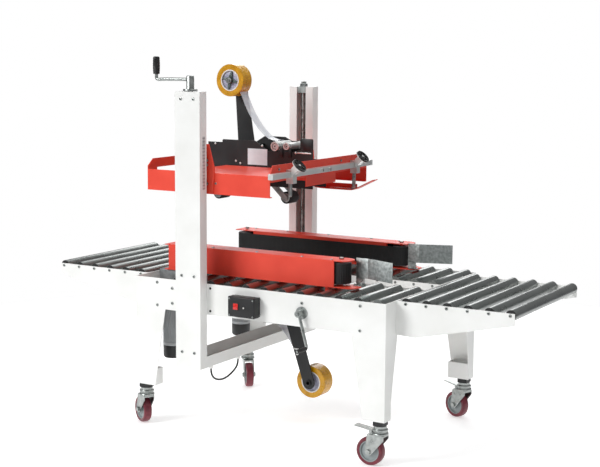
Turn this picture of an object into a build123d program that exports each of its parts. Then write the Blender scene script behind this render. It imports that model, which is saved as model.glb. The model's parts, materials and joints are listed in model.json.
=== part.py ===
"""Side-belt carton sealer: bed, roller tables, lifting tape head, side drives and casters.

Millimetres. X runs against the cartons' travel (they enter at +X), Y across the machine
with the operator's side at -Y, Z up from the floor.
"""
from build123d import *
from math import cos, radians, sin, tan
import os

MARGIN = 1.0                # how far a cutting shape runs past the face it cuts

# ---- bed and tables -------------------------------------------------------
SHEET = 3.0                 # thickness of every folded sheet part
BED_HALF_LENGTH = 522.0     # centre to the bed's end face
BED_HALF_WIDTH = 375.0      # centre to the outer face of the side panels
PANEL_LOW = 455.0
PANEL_TOP = 569.0
LEG_SEAM_X = BED_HALF_LENGTH - 122.0    # where a side panel meets a leg
ROLLER_R = 19.0
ROLLER_WALL = 1.5
ROLLER_PITCH = 75.0
ROLLER_Z = 561.0            # axis of every conveying roller
AXLE_R = 5.0
TABLE_LENGTH = 426.0
TABLE_HALF_WIDTH = BED_HALF_WIDTH - 75.0    # centre to the outer face of a table side plate
TABLE_ROLLERS = 6
TABLE_FIRST = 35.5          # bed's end face to a table's first roller
TABLE_END_DEPTH = 40.0      # height of a table plate at its free end
TABLE_ROOT_DEPTH = 120.0    # height of a table plate at the bed
BED_COLUMNS = int(BED_HALF_LENGTH / ROLLER_PITCH + 0.5)     # roller positions each side of the middle
TAPE_HALF = 50.0            # centre to the outer face of a tape head's cheek
RAIL_Y = TAPE_HALF + 10.0   # inner face of the two rails beside the lower tape head
END_GAP = 3.0               # side play between a roller and its plates
BLIND = SHEET / 2           # how deep axles and shafts sit in the side panels' inner faces
TIE_HALF = 15.0             # half width of a table's tie bar
TIE_RISE = 50.0             # table plate's lower edge to the tie bar

# ---- legs and casters -----------------------------------------------------
LEG_BOTTOM = 160.0
LEG_TOP_X = BED_HALF_LENGTH - 133.0     # inner edge of a leg under the side panel
LEG_FOOT_X = BED_HALF_LENGTH - 85.0     # inner edge of a leg at its foot
LEG_DEPTH = 48.0
LEG_FLANGE_DEPTH = 90.0     # end flange at the top of a leg
LEG_BOX_TOP = 222.0         # top of the closed box at a leg's foot
LIP = 12.0
PLUG_X = BED_HALF_LENGTH - 27.0         # middle of a foot plug, over its caster
PLUG_Y = BED_HALF_WIDTH - LEG_DEPTH / 2
PLUG_HALF_X = 19.0
PLUG_HALF_Y = 20.0
PLUG_HEIGHT = 16.0
STEM_R = 5.0
WHEEL_R = 50.0
WHEEL_WIDTH = 30.0
CASTER_TRAIL = 35.0
CASTER_TURN = {"front_exit": 150.0, "front_infeed": 180.0, "rear_exit": 310.0, "rear_infeed": 160.0}
BRAKED = ("front_infeed", "rear_infeed")
AXLE_FIT = 0.05             # radial play of every shaft that turns in a bore
PEDAL_X = 30.0              # brake pedal's pin, ahead of the swivel
PEDAL_Z = 118.0
PEDAL_PIN_R = 2.5

# ---- columns and lead screws ----------------------------------------------
COLUMN_X = -256.0
COLUMN_WIDTH = 108.0
COLUMN_DEPTH = 42.0
COLUMN_LOW = 258.0
COLUMN_TOP = 1258.0
COLUMN_SLOT = 42.0
SCREW_R = 10.0
SCREW_INSET = 21.0          # column's inner face to the screw's axis
BEAM_TOP = 300.0
BEARING_HEIGHT = 26.0
CORD_R = 3.5
GLAND_X = COLUMN_X + 40.0
GLAND_Y = (-330.0, -150.0)
CORD_POINTS = [(GLAND_X, -330.0, 246.0), (GLAND_X, -330.0, 224.0), (GLAND_X + 3, -310.0, 201.0),
               (GLAND_X + 4, -268.0, 190.0), (GLAND_X + 4, -226.0, 193.0), (GLAND_X + 3, -184.0, 206.0),
               (GLAND_X, -150.0, 224.0), (GLAND_X, -150.0, 246.0)]

# ---- lifting head ---------------------------------------------------------
HEAD_EXIT_X = -475.0
HEAD_INFEED_X = 54.0
HEAD_HALF_WIDTH = BED_HALF_WIDTH - 15.0     # the head's clearance inside the columns
HEAD_LOW = 893.0
HEAD_TOP = 969.0
CROSS_TOP = 1006.0
SKI_Z = 872.0               # underside of the skis
SKI_Y = 238.0
SKI_BAR = 20.0
SKI_BAR_HALF = HEAD_HALF_WIDTH + 12.0
SKI_BAR_Z = 968.0
SKI_ROD_R = 7.0
SKI_ROD_END = 893.0         # foot of the bare rod in the front clamp
CLAMP_GAP = 0.3             # a clamp's play on the bar it slides on
KNOB_R = 29.0
KNOB_REACH = 30.0           # boss's foot to the knob's face, up the 45 degree slope
KNOB_STUD_R = 4.0
KNOB_SLOPE = (cos(radians(45)), 0.0, sin(radians(45)))

# ---- tape heads -----------------------------------------------------------
TAPE_CHEEK = 3.0
TAPE_LENGTH = 465.0
UPPER_EXIT_X = -418.0
LOWER_EXIT_X = -345.0
CHEEK_LOW = 897.0
WIPER_Z = 856.0
PIVOT_Z = 960.0
ROLL_X = UPPER_EXIT_X + 86.0
ROLL_Z = 1289.0
LOWER_TURN_X = UPPER_EXIT_X + TAPE_LENGTH + LOWER_EXIT_X
LOWER_TURN_Z = SKI_Z + ROLLER_Z + ROLLER_R
UPPER_ARM_ROOT = [(-338.0, 1000.0), (-258.0, 1000.0), (-269.0, 1062.0)]    # root of a roll's arm, in X and Z
LOWER_ARM_ROOT = [(-266.0, 1000.0), (-210.0, 1000.0), (-222.0, 1040.0)]    # in the upper head's place
WIPER_R = 23.0
WIPER_HALF = 34.0
ARM_CHEEK = 3.0
ROLL_R = 61.0
ROLL_HALF = 30.0
CORE_R = 40.0
HUB_R = 37.5
SPINDLE_R = 8.0

# ---- side drives ----------------------------------------------------------
DRIVE_INNER = 200.0         # centre to the belt's carton face
DRIVE_DEPTH = 80.0
DRIVE_LOW = 586.0
DRIVE_HEIGHT = 96.0
PULLEY_R = 32.0
BELT = 4.0
BELT_WIDTH = 70.0
DRIVE_PULLEY_X = -423.0
IDLER_X = 274.0
MOTOR_X = -455.0
MOTOR_R = 38.0
MOTOR_LOW = 240.0
SHAFT_R = 10.0
SHAFT_Z = 505.0
EXIT_SHAFT_X = -367.0
INFEED_SHAFT_X = 225.0
WIDTH_SCREW_X = 196.0
WIDTH_SCREW_R = 8.0
CRANK_ROD_R = 5.5
GRIP_R = 8.0
GRIP_END_Y = -BED_HALF_WIDTH - 92.0     # free end of the width crank's grip
CRANK_REACH = (34.0, -117.0)    # from the width screw to the grip, in X and Z
FLANGE_R = 22.0

# ---- controls -------------------------------------------------------------
BOX_X = (-84.0, 27.0)
BOX_Z = (470.0, 543.0)
BOX_DEPTH = 45.0
ROCKER_X = -49.0
ROCKER_Z = 508.5
ROCKER = (20.0, 14.0, 22.0)     # width, depth and height

# The operator's crank stands out in front, so the model is centred across the whole machine.
COLUMN_FACE = BED_HALF_WIDTH + COLUMN_DEPTH
BOLT_HEAD = 3.5
SHIFT_Y = -(GRIP_END_Y + COLUMN_FACE + BOLT_HEAD) / 2


# ---- small shape helpers --------------------------------------------------
def block(x, y, z):
    """Box from three (low, high) pairs."""
    size = (x[1] - x[0], y[1] - y[0], z[1] - z[0])
    middle = ((x[0] + x[1]) / 2, (y[0] + y[1]) / 2, (z[0] + z[1]) / 2)
    return Pos(*middle) * Box(*size)


def rod(start, direction, length, radius):
    """Round bar from a point along a direction."""
    return extrude(Plane(origin=start, z_dir=direction) * Circle(radius), amount=length)


def tube(start, direction, length, outer, inner):
    """Round tube from a point along a direction."""
    ring = Circle(outer) - Circle(inner)
    return extrude(Plane(origin=start, z_dir=direction) * ring, amount=length)


def sheet_xz(points, y):
    """Flat sheet with an outline in X and Z, between two Y values."""
    plane = Plane(origin=(0, y[1], 0), z_dir=(0, -1, 0), x_dir=(1, 0, 0))
    return extrude(plane * make_face(Polyline(*points, close=True)), amount=y[1] - y[0])


def sheet_xy(points, z):
    """Flat sheet with an outline in X and Y, between two Z values."""
    return extrude(Pos(0, 0, z[0]) * make_face(Polyline(*points, close=True)), amount=z[1] - z[0])


def sheet_yz(points, x):
    """Flat sheet with an outline in Y and Z, between two X values."""
    plane = Plane(origin=(x[0], 0, 0), z_dir=(1, 0, 0), x_dir=(0, 1, 0))
    return extrude(plane * make_face(Polyline(*points, close=True)), amount=x[1] - x[0])


def to_rear(shape):
    """The same shape on the other side of the machine."""
    return mirror(shape, about=Plane.XZ)


def to_exit(shape):
    """The same shape at the other end of the machine."""
    return mirror(shape, about=Plane.YZ)


def four_corners(shape):
    """A shape copied to all four corners of the bed."""
    pair = [shape, to_rear(shape)]
    return pair + [to_exit(item) for item in pair]


def save(name, *shapes):
    """Write one node: its solids, centred across the machine."""
    solids = [solid for shape in shapes for solid in (Pos(0, SHIFT_Y, 0) * shape).solids()]
    export_step(Compound(solids), f"parts/{name}.step")


# ---- bed ------------------------------------------------------------------
def bed_columns_x():
    """X of the bed's roller positions."""
    return [side * ROLLER_PITCH * (k + 0.5) for k in range(BED_COLUMNS) for side in (-1, 1)]


def table_rollers_x():
    """X of one table's rollers."""
    first = BED_HALF_LENGTH + TABLE_FIRST
    return [first + ROLLER_PITCH * k for k in range(TABLE_ROLLERS)]


def blind_hole(x, z, radius):
    """Cutter for a seat in the inner face of the front side panel."""
    return rod((x, -BED_HALF_WIDTH + SHEET - BLIND, z), (0, 1, 0), BLIND + MARGIN, radius)


def bed_panels():
    """Side panels between the legs, end plates, and the two rails that carry the inner roller ends."""
    inner = BED_HALF_WIDTH - SHEET
    side = block((-LEG_SEAM_X, LEG_SEAM_X), (-BED_HALF_WIDTH, -inner), (PANEL_LOW, PANEL_TOP))
    side += block((-LEG_SEAM_X, LEG_SEAM_X), (-inner, -inner + LIP), (PANEL_LOW, PANEL_LOW + SHEET))
    end_x, end_y = BED_HALF_LENGTH - SHEET, BED_HALF_WIDTH - LEG_FLANGE_DEPTH
    end = block((end_x, BED_HALF_LENGTH), (-end_y, end_y), (PANEL_LOW, PANEL_TOP))
    rail = block((-end_x, end_x), (-RAIL_Y - SHEET, -RAIL_Y), (ROLLER_Z - ROLLER_R, PANEL_TOP))
    for x in bed_columns_x():
        hole = rod((x, -RAIL_Y - 2 * SHEET, ROLLER_Z), (0, 1, 0), 3 * SHEET, AXLE_R)
        rail -= hole
        if abs(x) < LEG_SEAM_X:
            side -= blind_hole(x, ROLLER_Z, AXLE_R)
    side -= rod((WIDTH_SCREW_X, -BED_HALF_WIDTH - 1, SHAFT_Z), (0, 1, 0), SHEET + 2, WIDTH_SCREW_R + AXLE_FIT)
    for x in (EXIT_SHAFT_X, INFEED_SHAFT_X):
        side -= blind_hole(x, SHAFT_Z, SHAFT_R)
    return [side, to_rear(side), end, to_exit(end), rail, to_rear(rail)]


def leg():
    """Front infeed leg: a tapered corner of two flanges, with a closed box at its foot."""
    outer = BED_HALF_WIDTH
    profile = [(LEG_FOOT_X, LEG_BOTTOM), (BED_HALF_LENGTH, LEG_BOTTOM), (BED_HALF_LENGTH, PANEL_TOP),
               (LEG_SEAM_X, PANEL_TOP), (LEG_SEAM_X, PANEL_LOW), (LEG_TOP_X, PANEL_LOW)]
    taper = [(-outer, LEG_BOTTOM), (-outer + LEG_DEPTH, LEG_BOTTOM), (-outer + LEG_DEPTH, LEG_BOX_TOP),
             (-outer + LEG_FLANGE_DEPTH, PANEL_LOW), (-outer + LEG_FLANGE_DEPTH, PANEL_TOP),
             (-outer, PANEL_TOP)]
    whole = sheet_xz(profile, (-outer, -outer + SHEET))
    whole += sheet_yz(taper, (BED_HALF_LENGTH - SHEET, BED_HALF_LENGTH))
    foot = block((LEG_FOOT_X, BED_HALF_LENGTH), (-outer, -outer + LEG_DEPTH), (LEG_BOTTOM, LEG_BOX_TOP))
    foot -= block((LEG_FOOT_X + SHEET, BED_HALF_LENGTH - SHEET), (-outer + SHEET, -outer + LEG_DEPTH - SHEET),
                  (LEG_BOTTOM + SHEET, LEG_BOX_TOP + MARGIN))
    whole += foot
    for x in bed_columns_x():
        if x > LEG_SEAM_X:
            whole -= blind_hole(x, ROLLER_Z, AXLE_R)
    return whole


def leg_plug():
    """Plastic plug that closes a leg's foot and takes the caster's stem."""
    body = block((PLUG_X - PLUG_HALF_X, PLUG_X + PLUG_HALF_X), (-PLUG_Y - PLUG_HALF_Y, -PLUG_Y + PLUG_HALF_Y),
                 (LEG_BOTTOM - PLUG_HEIGHT, LEG_BOTTOM))
    bore = rod((PLUG_X, -PLUG_Y, LEG_BOTTOM - PLUG_HEIGHT), (0, 0, 1), PLUG_HEIGHT, STEM_R + AXLE_FIT)
    return body - bore


def conveying_roller(x, low, high, seats=(SHEET, SHEET)):
    """Steel roller tube between two Y values, with its end caps and an axle that sits in both plates."""
    cap = 6.0
    run = high - low - 2 * END_GAP
    shell = tube((x, low + END_GAP, ROLLER_Z), (0, 1, 0), run, ROLLER_R, ROLLER_R - ROLLER_WALL)
    axle = rod((x, low - seats[0], ROLLER_Z), (0, 1, 0), high - low + sum(seats), AXLE_R)
    caps = [tube((x, y, ROLLER_Z), (0, 1, 0), cap, ROLLER_R - ROLLER_WALL, AXLE_R)
            for y in (low + END_GAP, high - END_GAP - cap)]
    return [shell + caps[0] + caps[1] + axle]


def bed_rollers():
    """Short rollers each side of the tape head, and short ones between the rails over the motors' travel."""
    rollers = []
    side_low, side_high = -(BED_HALF_WIDTH - SHEET), -(RAIL_Y + SHEET)
    for x in bed_columns_x():
        if x < DRIVE_PULLEY_X + ROLLER_PITCH / 2:
            rollers += conveying_roller(x, -RAIL_Y, RAIL_Y)
        else:
            rollers += conveying_roller(x, side_low, side_high, (BLIND, SHEET))
            rollers += conveying_roller(x, -side_high, -side_low, (SHEET, BLIND))
    return rollers


def table_frames():
    """Tapered side plates of both roller tables, each pair tied by a bar."""
    inner, outer = TABLE_HALF_WIDTH - SHEET, TABLE_HALF_WIDTH
    root, end = BED_HALF_LENGTH, BED_HALF_LENGTH + TABLE_LENGTH
    low = PANEL_TOP - TABLE_ROOT_DEPTH
    outline = [(root, PANEL_TOP), (end, PANEL_TOP), (end, PANEL_TOP - TABLE_END_DEPTH),
               (root + 2 * TABLE_FIRST, low), (root, low + 4)]
    plate = sheet_xz(outline, (-outer, -inner))
    plate += block((root, root + SHEET), (-inner, -inner + 2 * LIP), (low + 4, PANEL_TOP))
    for x in table_rollers_x():
        plate -= rod((x, -outer - 1, ROLLER_Z), (0, 1, 0), SHEET + 2, AXLE_R)
    middle, tie_z = root + TABLE_LENGTH / 2, low + TIE_RISE
    bar = block((middle - TIE_HALF, middle + TIE_HALF), (-inner, inner), (tie_z, tie_z + SHEET))
    table = plate + to_rear(plate) + bar
    return [table, to_exit(table)]


def table_rollers():
    """The rollers of both tables."""
    inner = TABLE_HALF_WIDTH - SHEET
    places = [side * x for x in table_rollers_x() for side in (-1, 1)]
    return [part for x in places for part in conveying_roller(x, -inner, inner)]


def bolt_head(point, normal, radius=5.0, height=BOLT_HEAD):
    """Round bolt head on a face."""
    return rod(point, normal, height, radius)


def frame_bolts():
    """Every bolt head that shows on the bed, tables and columns."""
    heads = []
    for x in table_rollers_x():
        for side in (-1, 1):
            heads += [bolt_head((side * x, -TABLE_HALF_WIDTH, ROLLER_Z), (0, -1, 0)),
                      bolt_head((side * x, TABLE_HALF_WIDTH, ROLLER_Z), (0, 1, 0))]
    for z in (BEAM_TOP + 17, PANEL_TOP + 29, COLUMN_TOP - 26):
        for x in (COLUMN_X - COLUMN_WIDTH / 4, COLUMN_X + COLUMN_WIDTH / 4):
            heads += [bolt_head((x, -COLUMN_FACE, z), (0, -1, 0)), bolt_head((x, COLUMN_FACE, z), (0, 1, 0))]
    for z in (PANEL_LOW + 13, PANEL_TOP - 16):
        heads += four_corners(bolt_head((LEG_SEAM_X + 24, -BED_HALF_WIDTH, z), (0, -1, 0)))
    for x, z in ((COLUMN_X - 100, PANEL_LOW + 26), (COLUMN_X - 100, PANEL_TOP - 32),
                 (WIDTH_SCREW_X, PANEL_TOP - 30)):
        bolt = bolt_head((x, -BED_HALF_WIDTH, z), (0, -1, 0))
        heads += [bolt, to_rear(bolt)]
    return heads


# ---- columns, screws and beam ----------------------------------------------
def column():
    """Front column: a folded channel with a lipped slot that faces the machine's middle."""
    half = COLUMN_WIDTH / 2
    shell = block((COLUMN_X - half, COLUMN_X + half), (-COLUMN_FACE, -BED_HALF_WIDTH),
                  (COLUMN_LOW, COLUMN_TOP))
    shell -= block((COLUMN_X - half + SHEET, COLUMN_X + half - SHEET),
                   (-COLUMN_FACE + SHEET, -BED_HALF_WIDTH - SHEET), (COLUMN_LOW - 1, COLUMN_TOP + 1))
    slot = COLUMN_SLOT / 2
    shell -= block((COLUMN_X - slot, COLUMN_X + slot), (-BED_HALF_WIDTH - SHEET - 1, -BED_HALF_WIDTH + 1),
                   (COLUMN_LOW - 1, COLUMN_TOP + 1))
    return shell


def screw_y():
    """Distance of the lead screws from the middle."""
    return BED_HALF_WIDTH + SCREW_INSET


def column_bearings():
    """Bearing blocks at the top and bottom of both columns."""
    half = COLUMN_WIDTH / 2 - SHEET
    blocks = []
    for low in (COLUMN_LOW + 6, COLUMN_TOP - BEARING_HEIGHT):
        shape = block((COLUMN_X - half, COLUMN_X + half), (-COLUMN_FACE + SHEET, -BED_HALF_WIDTH - SHEET),
                      (low, low + BEARING_HEIGHT))
        shape -= rod((COLUMN_X, -screw_y(), low - 1), (0, 0, 1), BEARING_HEIGHT + 2, SCREW_R + AXLE_FIT)
        blocks += [shape, to_rear(shape)]
    return blocks


def cross_beam():
    """Open-topped channel that ties the columns' feet and covers the chain between the screws."""
    half = COLUMN_WIDTH / 2
    beam = block((COLUMN_X - half, COLUMN_X + half), (-BED_HALF_WIDTH, BED_HALF_WIDTH),
                 (COLUMN_LOW, BEAM_TOP))
    return beam - block((COLUMN_X - half + SHEET, COLUMN_X + half - SHEET),
                        (-BED_HALF_WIDTH - 1, BED_HALF_WIDTH + 1), (COLUMN_LOW + SHEET, BEAM_TOP + 1))


def lead_screw():
    """Front lead screw with the sprocket that the chain turns."""
    low = COLUMN_LOW + 6
    screw = rod((COLUMN_X, -screw_y(), low), (0, 0, 1), COLUMN_TOP + 20 - low, SCREW_R)
    sprocket_z = low + BEARING_HEIGHT + 2
    sprocket = rod((COLUMN_X, -screw_y(), sprocket_z), (0, 0, 1), 5, SCREW_INSET - SHEET - 2)
    return screw + sprocket


def height_crank():
    """Hub, bent arm and ribbed grip that turn the front lead screw."""
    y = -screw_y()
    hub_low, hub_top = COLUMN_TOP + 2, COLUMN_TOP + 56
    hub = rod((COLUMN_X, y, hub_low), (0, 0, 1), hub_top - hub_low, 14)
    hub += rod((COLUMN_X, y, hub_low), (0, 0, 1), 7, 26)
    hub -= rod((COLUMN_X, y, hub_low - 1), (0, 0, 1), COLUMN_TOP + 21 - hub_low, SCREW_R)
    arm_z, reach = COLUMN_TOP + 42, 148.0
    arm = rod((COLUMN_X - 12, y, arm_z), (-1, 0, 0), reach - 12, 6)
    arm += Pos(COLUMN_X - reach, y, arm_z) * Sphere(6)
    arm += rod((COLUMN_X - reach, y, arm_z), (0, 0, 1), 80, 6)
    grip = tube((COLUMN_X - reach, y, arm_z + 18), (0, 0, 1), 62, 13, 6)
    return [hub + arm, grip]


# ---- lifting head -----------------------------------------------------------
def head_frame():
    """Welded lifting frame: side bars, top sheets, an arched exit member and the infeed member."""
    outer = HEAD_HALF_WIDTH
    inner = outer - SHEET
    mouth = TAPE_HALF + 12
    bar = block((HEAD_EXIT_X, HEAD_INFEED_X), (-outer, -inner), (HEAD_LOW, HEAD_TOP))
    bar += block((HEAD_EXIT_X, HEAD_INFEED_X), (-inner, -inner + LIP), (HEAD_LOW, HEAD_LOW + SHEET))
    top = block((COLUMN_X - 70, HEAD_INFEED_X), (-outer, -mouth), (HEAD_TOP - SHEET, HEAD_TOP))
    top += block((COLUMN_X - 70, HEAD_INFEED_X), (-mouth - SHEET, -mouth), (HEAD_TOP - 40, HEAD_TOP))
    side = bar + top
    arch = [(-outer, HEAD_LOW), (-outer + 55, HEAD_LOW), (-outer + 55, HEAD_TOP + 3),
            (outer - 55, HEAD_TOP + 3), (outer - 55, HEAD_LOW), (outer, HEAD_LOW), (outer, HEAD_TOP + 12),
            (outer - 31, CROSS_TOP), (-outer + 31, CROSS_TOP), (-outer, HEAD_TOP + 12)]
    exit_member = sheet_yz(arch, (HEAD_EXIT_X, HEAD_EXIT_X + SHEET))
    apron = 110.0
    front = [(-outer, HEAD_TOP - 22), (-apron, HEAD_TOP - 22), (-apron, HEAD_TOP - 57),
             (apron, HEAD_TOP - 57), (apron, HEAD_TOP - 22), (outer, HEAD_TOP - 22), (outer, HEAD_TOP),
             (outer - 20, CROSS_TOP), (-outer + 20, CROSS_TOP), (-outer, HEAD_TOP)]
    infeed_member = sheet_yz(front, (HEAD_INFEED_X - SHEET, HEAD_INFEED_X))
    return side + to_rear(side) + exit_member + infeed_member


def head_carriages():
    """Tapered plates bolted to the side bars, each with a nut block that runs in its column on the screw."""
    outer = HEAD_HALF_WIDTH
    foot = [(COLUMN_X - 74, HEAD_LOW + 4), (COLUMN_X + 74, HEAD_LOW + 4)]
    peak = [(COLUMN_X + 81, HEAD_TOP + 16), (COLUMN_X + 56, CROSS_TOP + 66), (COLUMN_X - 42, CROSS_TOP + 66),
            (COLUMN_X - 66, CROSS_TOP)]
    low_peak = [(COLUMN_X + 66, CROSS_TOP), (COLUMN_X - 66, CROSS_TOP)]
    neck = COLUMN_SLOT / 2 - 2
    nut_z = (HEAD_LOW + 40, HEAD_LOW + 110)
    nut = block((COLUMN_X - neck, COLUMN_X + neck), (-COLUMN_FACE + 10, -outer - 5), nut_z)
    slider = COLUMN_WIDTH / 2 - SHEET - 2
    nut += block((COLUMN_X - slider, COLUMN_X + slider), (-COLUMN_FACE + 10, -BED_HALF_WIDTH - SHEET - 2),
                 nut_z)
    nut -= rod((COLUMN_X, -screw_y(), HEAD_LOW), (0, 0, 1), 200, SCREW_R + AXLE_FIT)
    front = sheet_xz(foot + peak, (-outer - 5, -outer)) + nut
    rear = sheet_xz(foot + low_peak, (-outer - 5, -outer)) + nut
    return [front, to_rear(rear)]


def ski_bar():
    """Square bar across the infeed member that both skis clamp on."""
    low = HEAD_INFEED_X
    bar = block((low, low + SKI_BAR), (-SKI_BAR_HALF, SKI_BAR_HALF),
                (SKI_BAR_Z - SKI_BAR / 2, SKI_BAR_Z + SKI_BAR / 2))
    heads = [rod((low + SKI_BAR, y, SKI_BAR_Z), (1, 0, 0), 5, 6) for y in (-28, 28)]
    return [bar + heads[0] + heads[1]]


def ski_rod_x():
    """X of the skis' upright rods, in line with the middle of the bar's clamp."""
    return HEAD_INFEED_X + SKI_BAR / 2


def ski_clamp():
    """Front clamp block on the square bar: a bore for the ski's rod below and a knob's boss above."""
    x = ski_rod_x()
    half = SKI_BAR / 2
    grip_low, grip_top = SKI_BAR_Z - half - 22, SKI_BAR_Z + half + 7
    body = block((x - half + 0.5, x + half + 9), (-SKI_Y - 13, -SKI_Y + 13), (grip_low, grip_top))
    play = half + CLAMP_GAP
    body -= block((x - half - 1, x + play), (-SKI_Y - 14, -SKI_Y + 14), (SKI_BAR_Z - play, SKI_BAR_Z + play))
    body -= rod((x, -SKI_Y, grip_low - 1), (0, 0, 1), 21, SKI_ROD_R + AXLE_FIT)
    foot = knob_foot()
    sides = Plane(origin=foot, z_dir=KNOB_SLOPE, x_dir=(0, 1, 0))
    whole = body + extrude(sides * Rectangle(2 * 13, 2 * 12), amount=KNOB_REACH - 4)
    return whole - rod(foot, KNOB_SLOPE, KNOB_REACH, KNOB_STUD_R + AXLE_FIT)


def knob_foot():
    """Where the front clamp's sloping boss starts."""
    return (ski_rod_x() + SKI_BAR / 2 + 3, -SKI_Y, SKI_BAR_Z + SKI_BAR / 2 - 2)


def clamp_knob():
    """Front round knob with its stud in the clamp's boss."""
    face = Vector(*knob_foot()) + Vector(*KNOB_SLOPE) * KNOB_REACH
    knob = rod(face, KNOB_SLOPE, 10, KNOB_R)
    return knob + rod(face, [-part for part in KNOB_SLOPE], KNOB_REACH - 4, KNOB_STUD_R)


def ski_rod(foot_z):
    """Upright rod in the front clamp."""
    rod_top = SKI_BAR_Z - SKI_BAR / 2 - 4
    return rod((ski_rod_x(), -SKI_Y, foot_z), (0, 0, 1), rod_top - foot_z, SKI_ROD_R)


def bare_rod():
    """The front rod alone, with a small foot and no ski on it."""
    return ski_rod(SKI_ROD_END) + Pos(ski_rod_x(), -SKI_Y, SKI_ROD_END) * Sphere(SKI_ROD_R)


def ski():
    """Ski as on the front rod: a bent sheet that presses on the carton's top flaps."""
    x = ski_rod_x()
    half, rise = 22.0, 42.0
    tail, nose, tip = x - 162, x + 8, x + 92
    outline = [(tail, SKI_Z), (nose, SKI_Z), (tip, SKI_Z + rise), (tip - 1, SKI_Z + rise + SHEET),
               (nose - 1, SKI_Z + SHEET), (tail, SKI_Z + SHEET)]
    shoe = sheet_xz(outline, (-SKI_Y - half, -SKI_Y + half))
    shoe += block((tail, nose - 2), (-SKI_Y - half, -SKI_Y - half + SHEET), (SKI_Z + SHEET, SKI_Z + 20))
    return shoe + ski_rod(SKI_Z + SHEET)


# ---- tape heads --------------------------------------------------------------
def tape_pivots(exit_x):
    """X of a tape head's wipers and arm pivots, from the end the carton leaves."""
    return {"rear": exit_x + 33, "front": exit_x + TAPE_LENGTH - 127,
            "rear_pivot": exit_x + 143, "front_pivot": exit_x + TAPE_LENGTH - 237}


def wiper(x, z):
    """Rubber wipe-down roller on its bore."""
    return tube((x, -WIPER_HALF, z), (0, 1, 0), 2 * WIPER_HALF, WIPER_R, AXLE_R + AXLE_FIT)


def wiper_arm(x, z, pivot_x, pivot_z):
    """Two cheeks that swing a wipe-down roller, with its axle and the pivot shaft."""
    cheek = WIPER_HALF + 2
    solids = None
    for y in (-cheek - ARM_CHEEK, cheek):
        plane = Plane(origin=(0, y + ARM_CHEEK, 0), z_dir=(0, -1, 0), x_dir=(1, 0, 0))
        run = extrude(plane * link_outline((x, z), (pivot_x, pivot_z), 22), amount=ARM_CHEEK)
        solids = run if solids is None else solids + run
    solids += rod((x, -cheek - ARM_CHEEK, z), (0, 1, 0), 2 * (cheek + ARM_CHEEK), AXLE_R)
    solids += rod((pivot_x, -TAPE_HALF, pivot_z), (0, 1, 0), 2 * TAPE_HALF, AXLE_R + 1)
    return solids


def link_outline(start, end, width):
    """Rounded link outline between two points."""
    dx, dz = end[0] - start[0], end[1] - start[1]
    length = (dx * dx + dz * dz) ** 0.5
    angle = Vector(dx, dz).get_signed_angle(Vector(1, 0), Vector(0, 0, -1))
    middle = Pos((start[0] + end[0]) / 2, (start[1] + end[1]) / 2)
    return middle * Rot(0, 0, angle) * SlotCenterToCenter(length, width)


def to_lower(shape):
    """The lower tape head is the upper one turned over end for end, with its roll on the operator's side."""
    return Pos(LOWER_TURN_X, 0, LOWER_TURN_Z) * Rot(0, 180, 0) * mirror(shape, about=Plane.XZ)


def cheek_outline(hump):
    """Outline of a tape head's cheek: the far one has the hump, the near one is cut down for threading."""
    exit_x, infeed_x = UPPER_EXIT_X, UPPER_EXIT_X + TAPE_LENGTH
    start = [(infeed_x, CHEEK_LOW), (exit_x, CHEEK_LOW), (exit_x, 1055)]
    if hump:
        return start + [(exit_x + 159, 1056), (exit_x + 196, 1078), (exit_x + 286, 1078),
                        (exit_x + 315, 1064), (exit_x + 405, 1062), (exit_x + 405, 1000), (infeed_x, 1000)]
    start += [(exit_x + 68, 1055), (exit_x + 68, 1066), (exit_x + 213, 1066)]
    return start + [(exit_x + 268, 1030), (exit_x + 378, 1030), (exit_x + 411, 1040), (exit_x + 411, 1078),
                    (infeed_x, 1078)]


def tape_head_body(pad_reach, pad_z, arm_root):
    """Two cheeks on spacers, the roll's arm with its spindle, guide rollers and mounting pads."""
    inner, outer = TAPE_HALF - TAPE_CHEEK, TAPE_HALF
    exit_x, pivots = UPPER_EXIT_X, tape_pivots(UPPER_EXIT_X)
    cheeks = [sheet_xz(cheek_outline(False), (-outer, -inner)), sheet_xz(cheek_outline(True), (inner, outer))]
    for index, cheek in enumerate(cheeks):
        for x in (pivots["rear_pivot"], pivots["front_pivot"]):
            cheek -= rod((x, -outer - 1, PIVOT_Z), (0, 1, 0), 2 * outer + 2, AXLE_R + 1 + AXLE_FIT)
        cheeks[index] = cheek
    body = cheeks[0] + cheeks[1]
    for x, z in ((exit_x + 18, 1038), (exit_x + 190, 1046), (exit_x + 440, 980), (exit_x + 300, 1015)):
        body += rod((x, -inner, z), (0, 1, 0), 2 * inner, 5)
    for x, z, radius in ((exit_x + 304, 1049, 17), (exit_x + 354, 1051, 13)):
        body += rod((x, -outer, z), (0, 1, 0), outer + inner, radius)
    for x in (exit_x + 50, exit_x + TAPE_LENGTH - 70):
        for side in (-1, 1):
            span = sorted((side * outer, side * pad_reach))
            body += block((x - 15, x + 15), span, pad_z)
    body += sheet_xz(arm_root + [(ROLL_X + 25, ROLL_Z), (ROLL_X - 25, ROLL_Z)], (inner - 4, inner))
    body += rod((ROLL_X, inner - 4, ROLL_Z), (0, 1, 0), 4, 25)
    body += rod((ROLL_X, -ROLL_HALF - 6, ROLL_Z), (0, 1, 0), ROLL_HALF + inner + 2, SPINDLE_R)
    body += rod((ROLL_X, -ROLL_HALF - 7, ROLL_Z), (0, 1, 0), 5, 13)
    body += rod((ROLL_X, ROLL_HALF + 2, ROLL_Z), (0, 1, 0), inner - ROLL_HALF - 2, 13)
    return body


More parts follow.
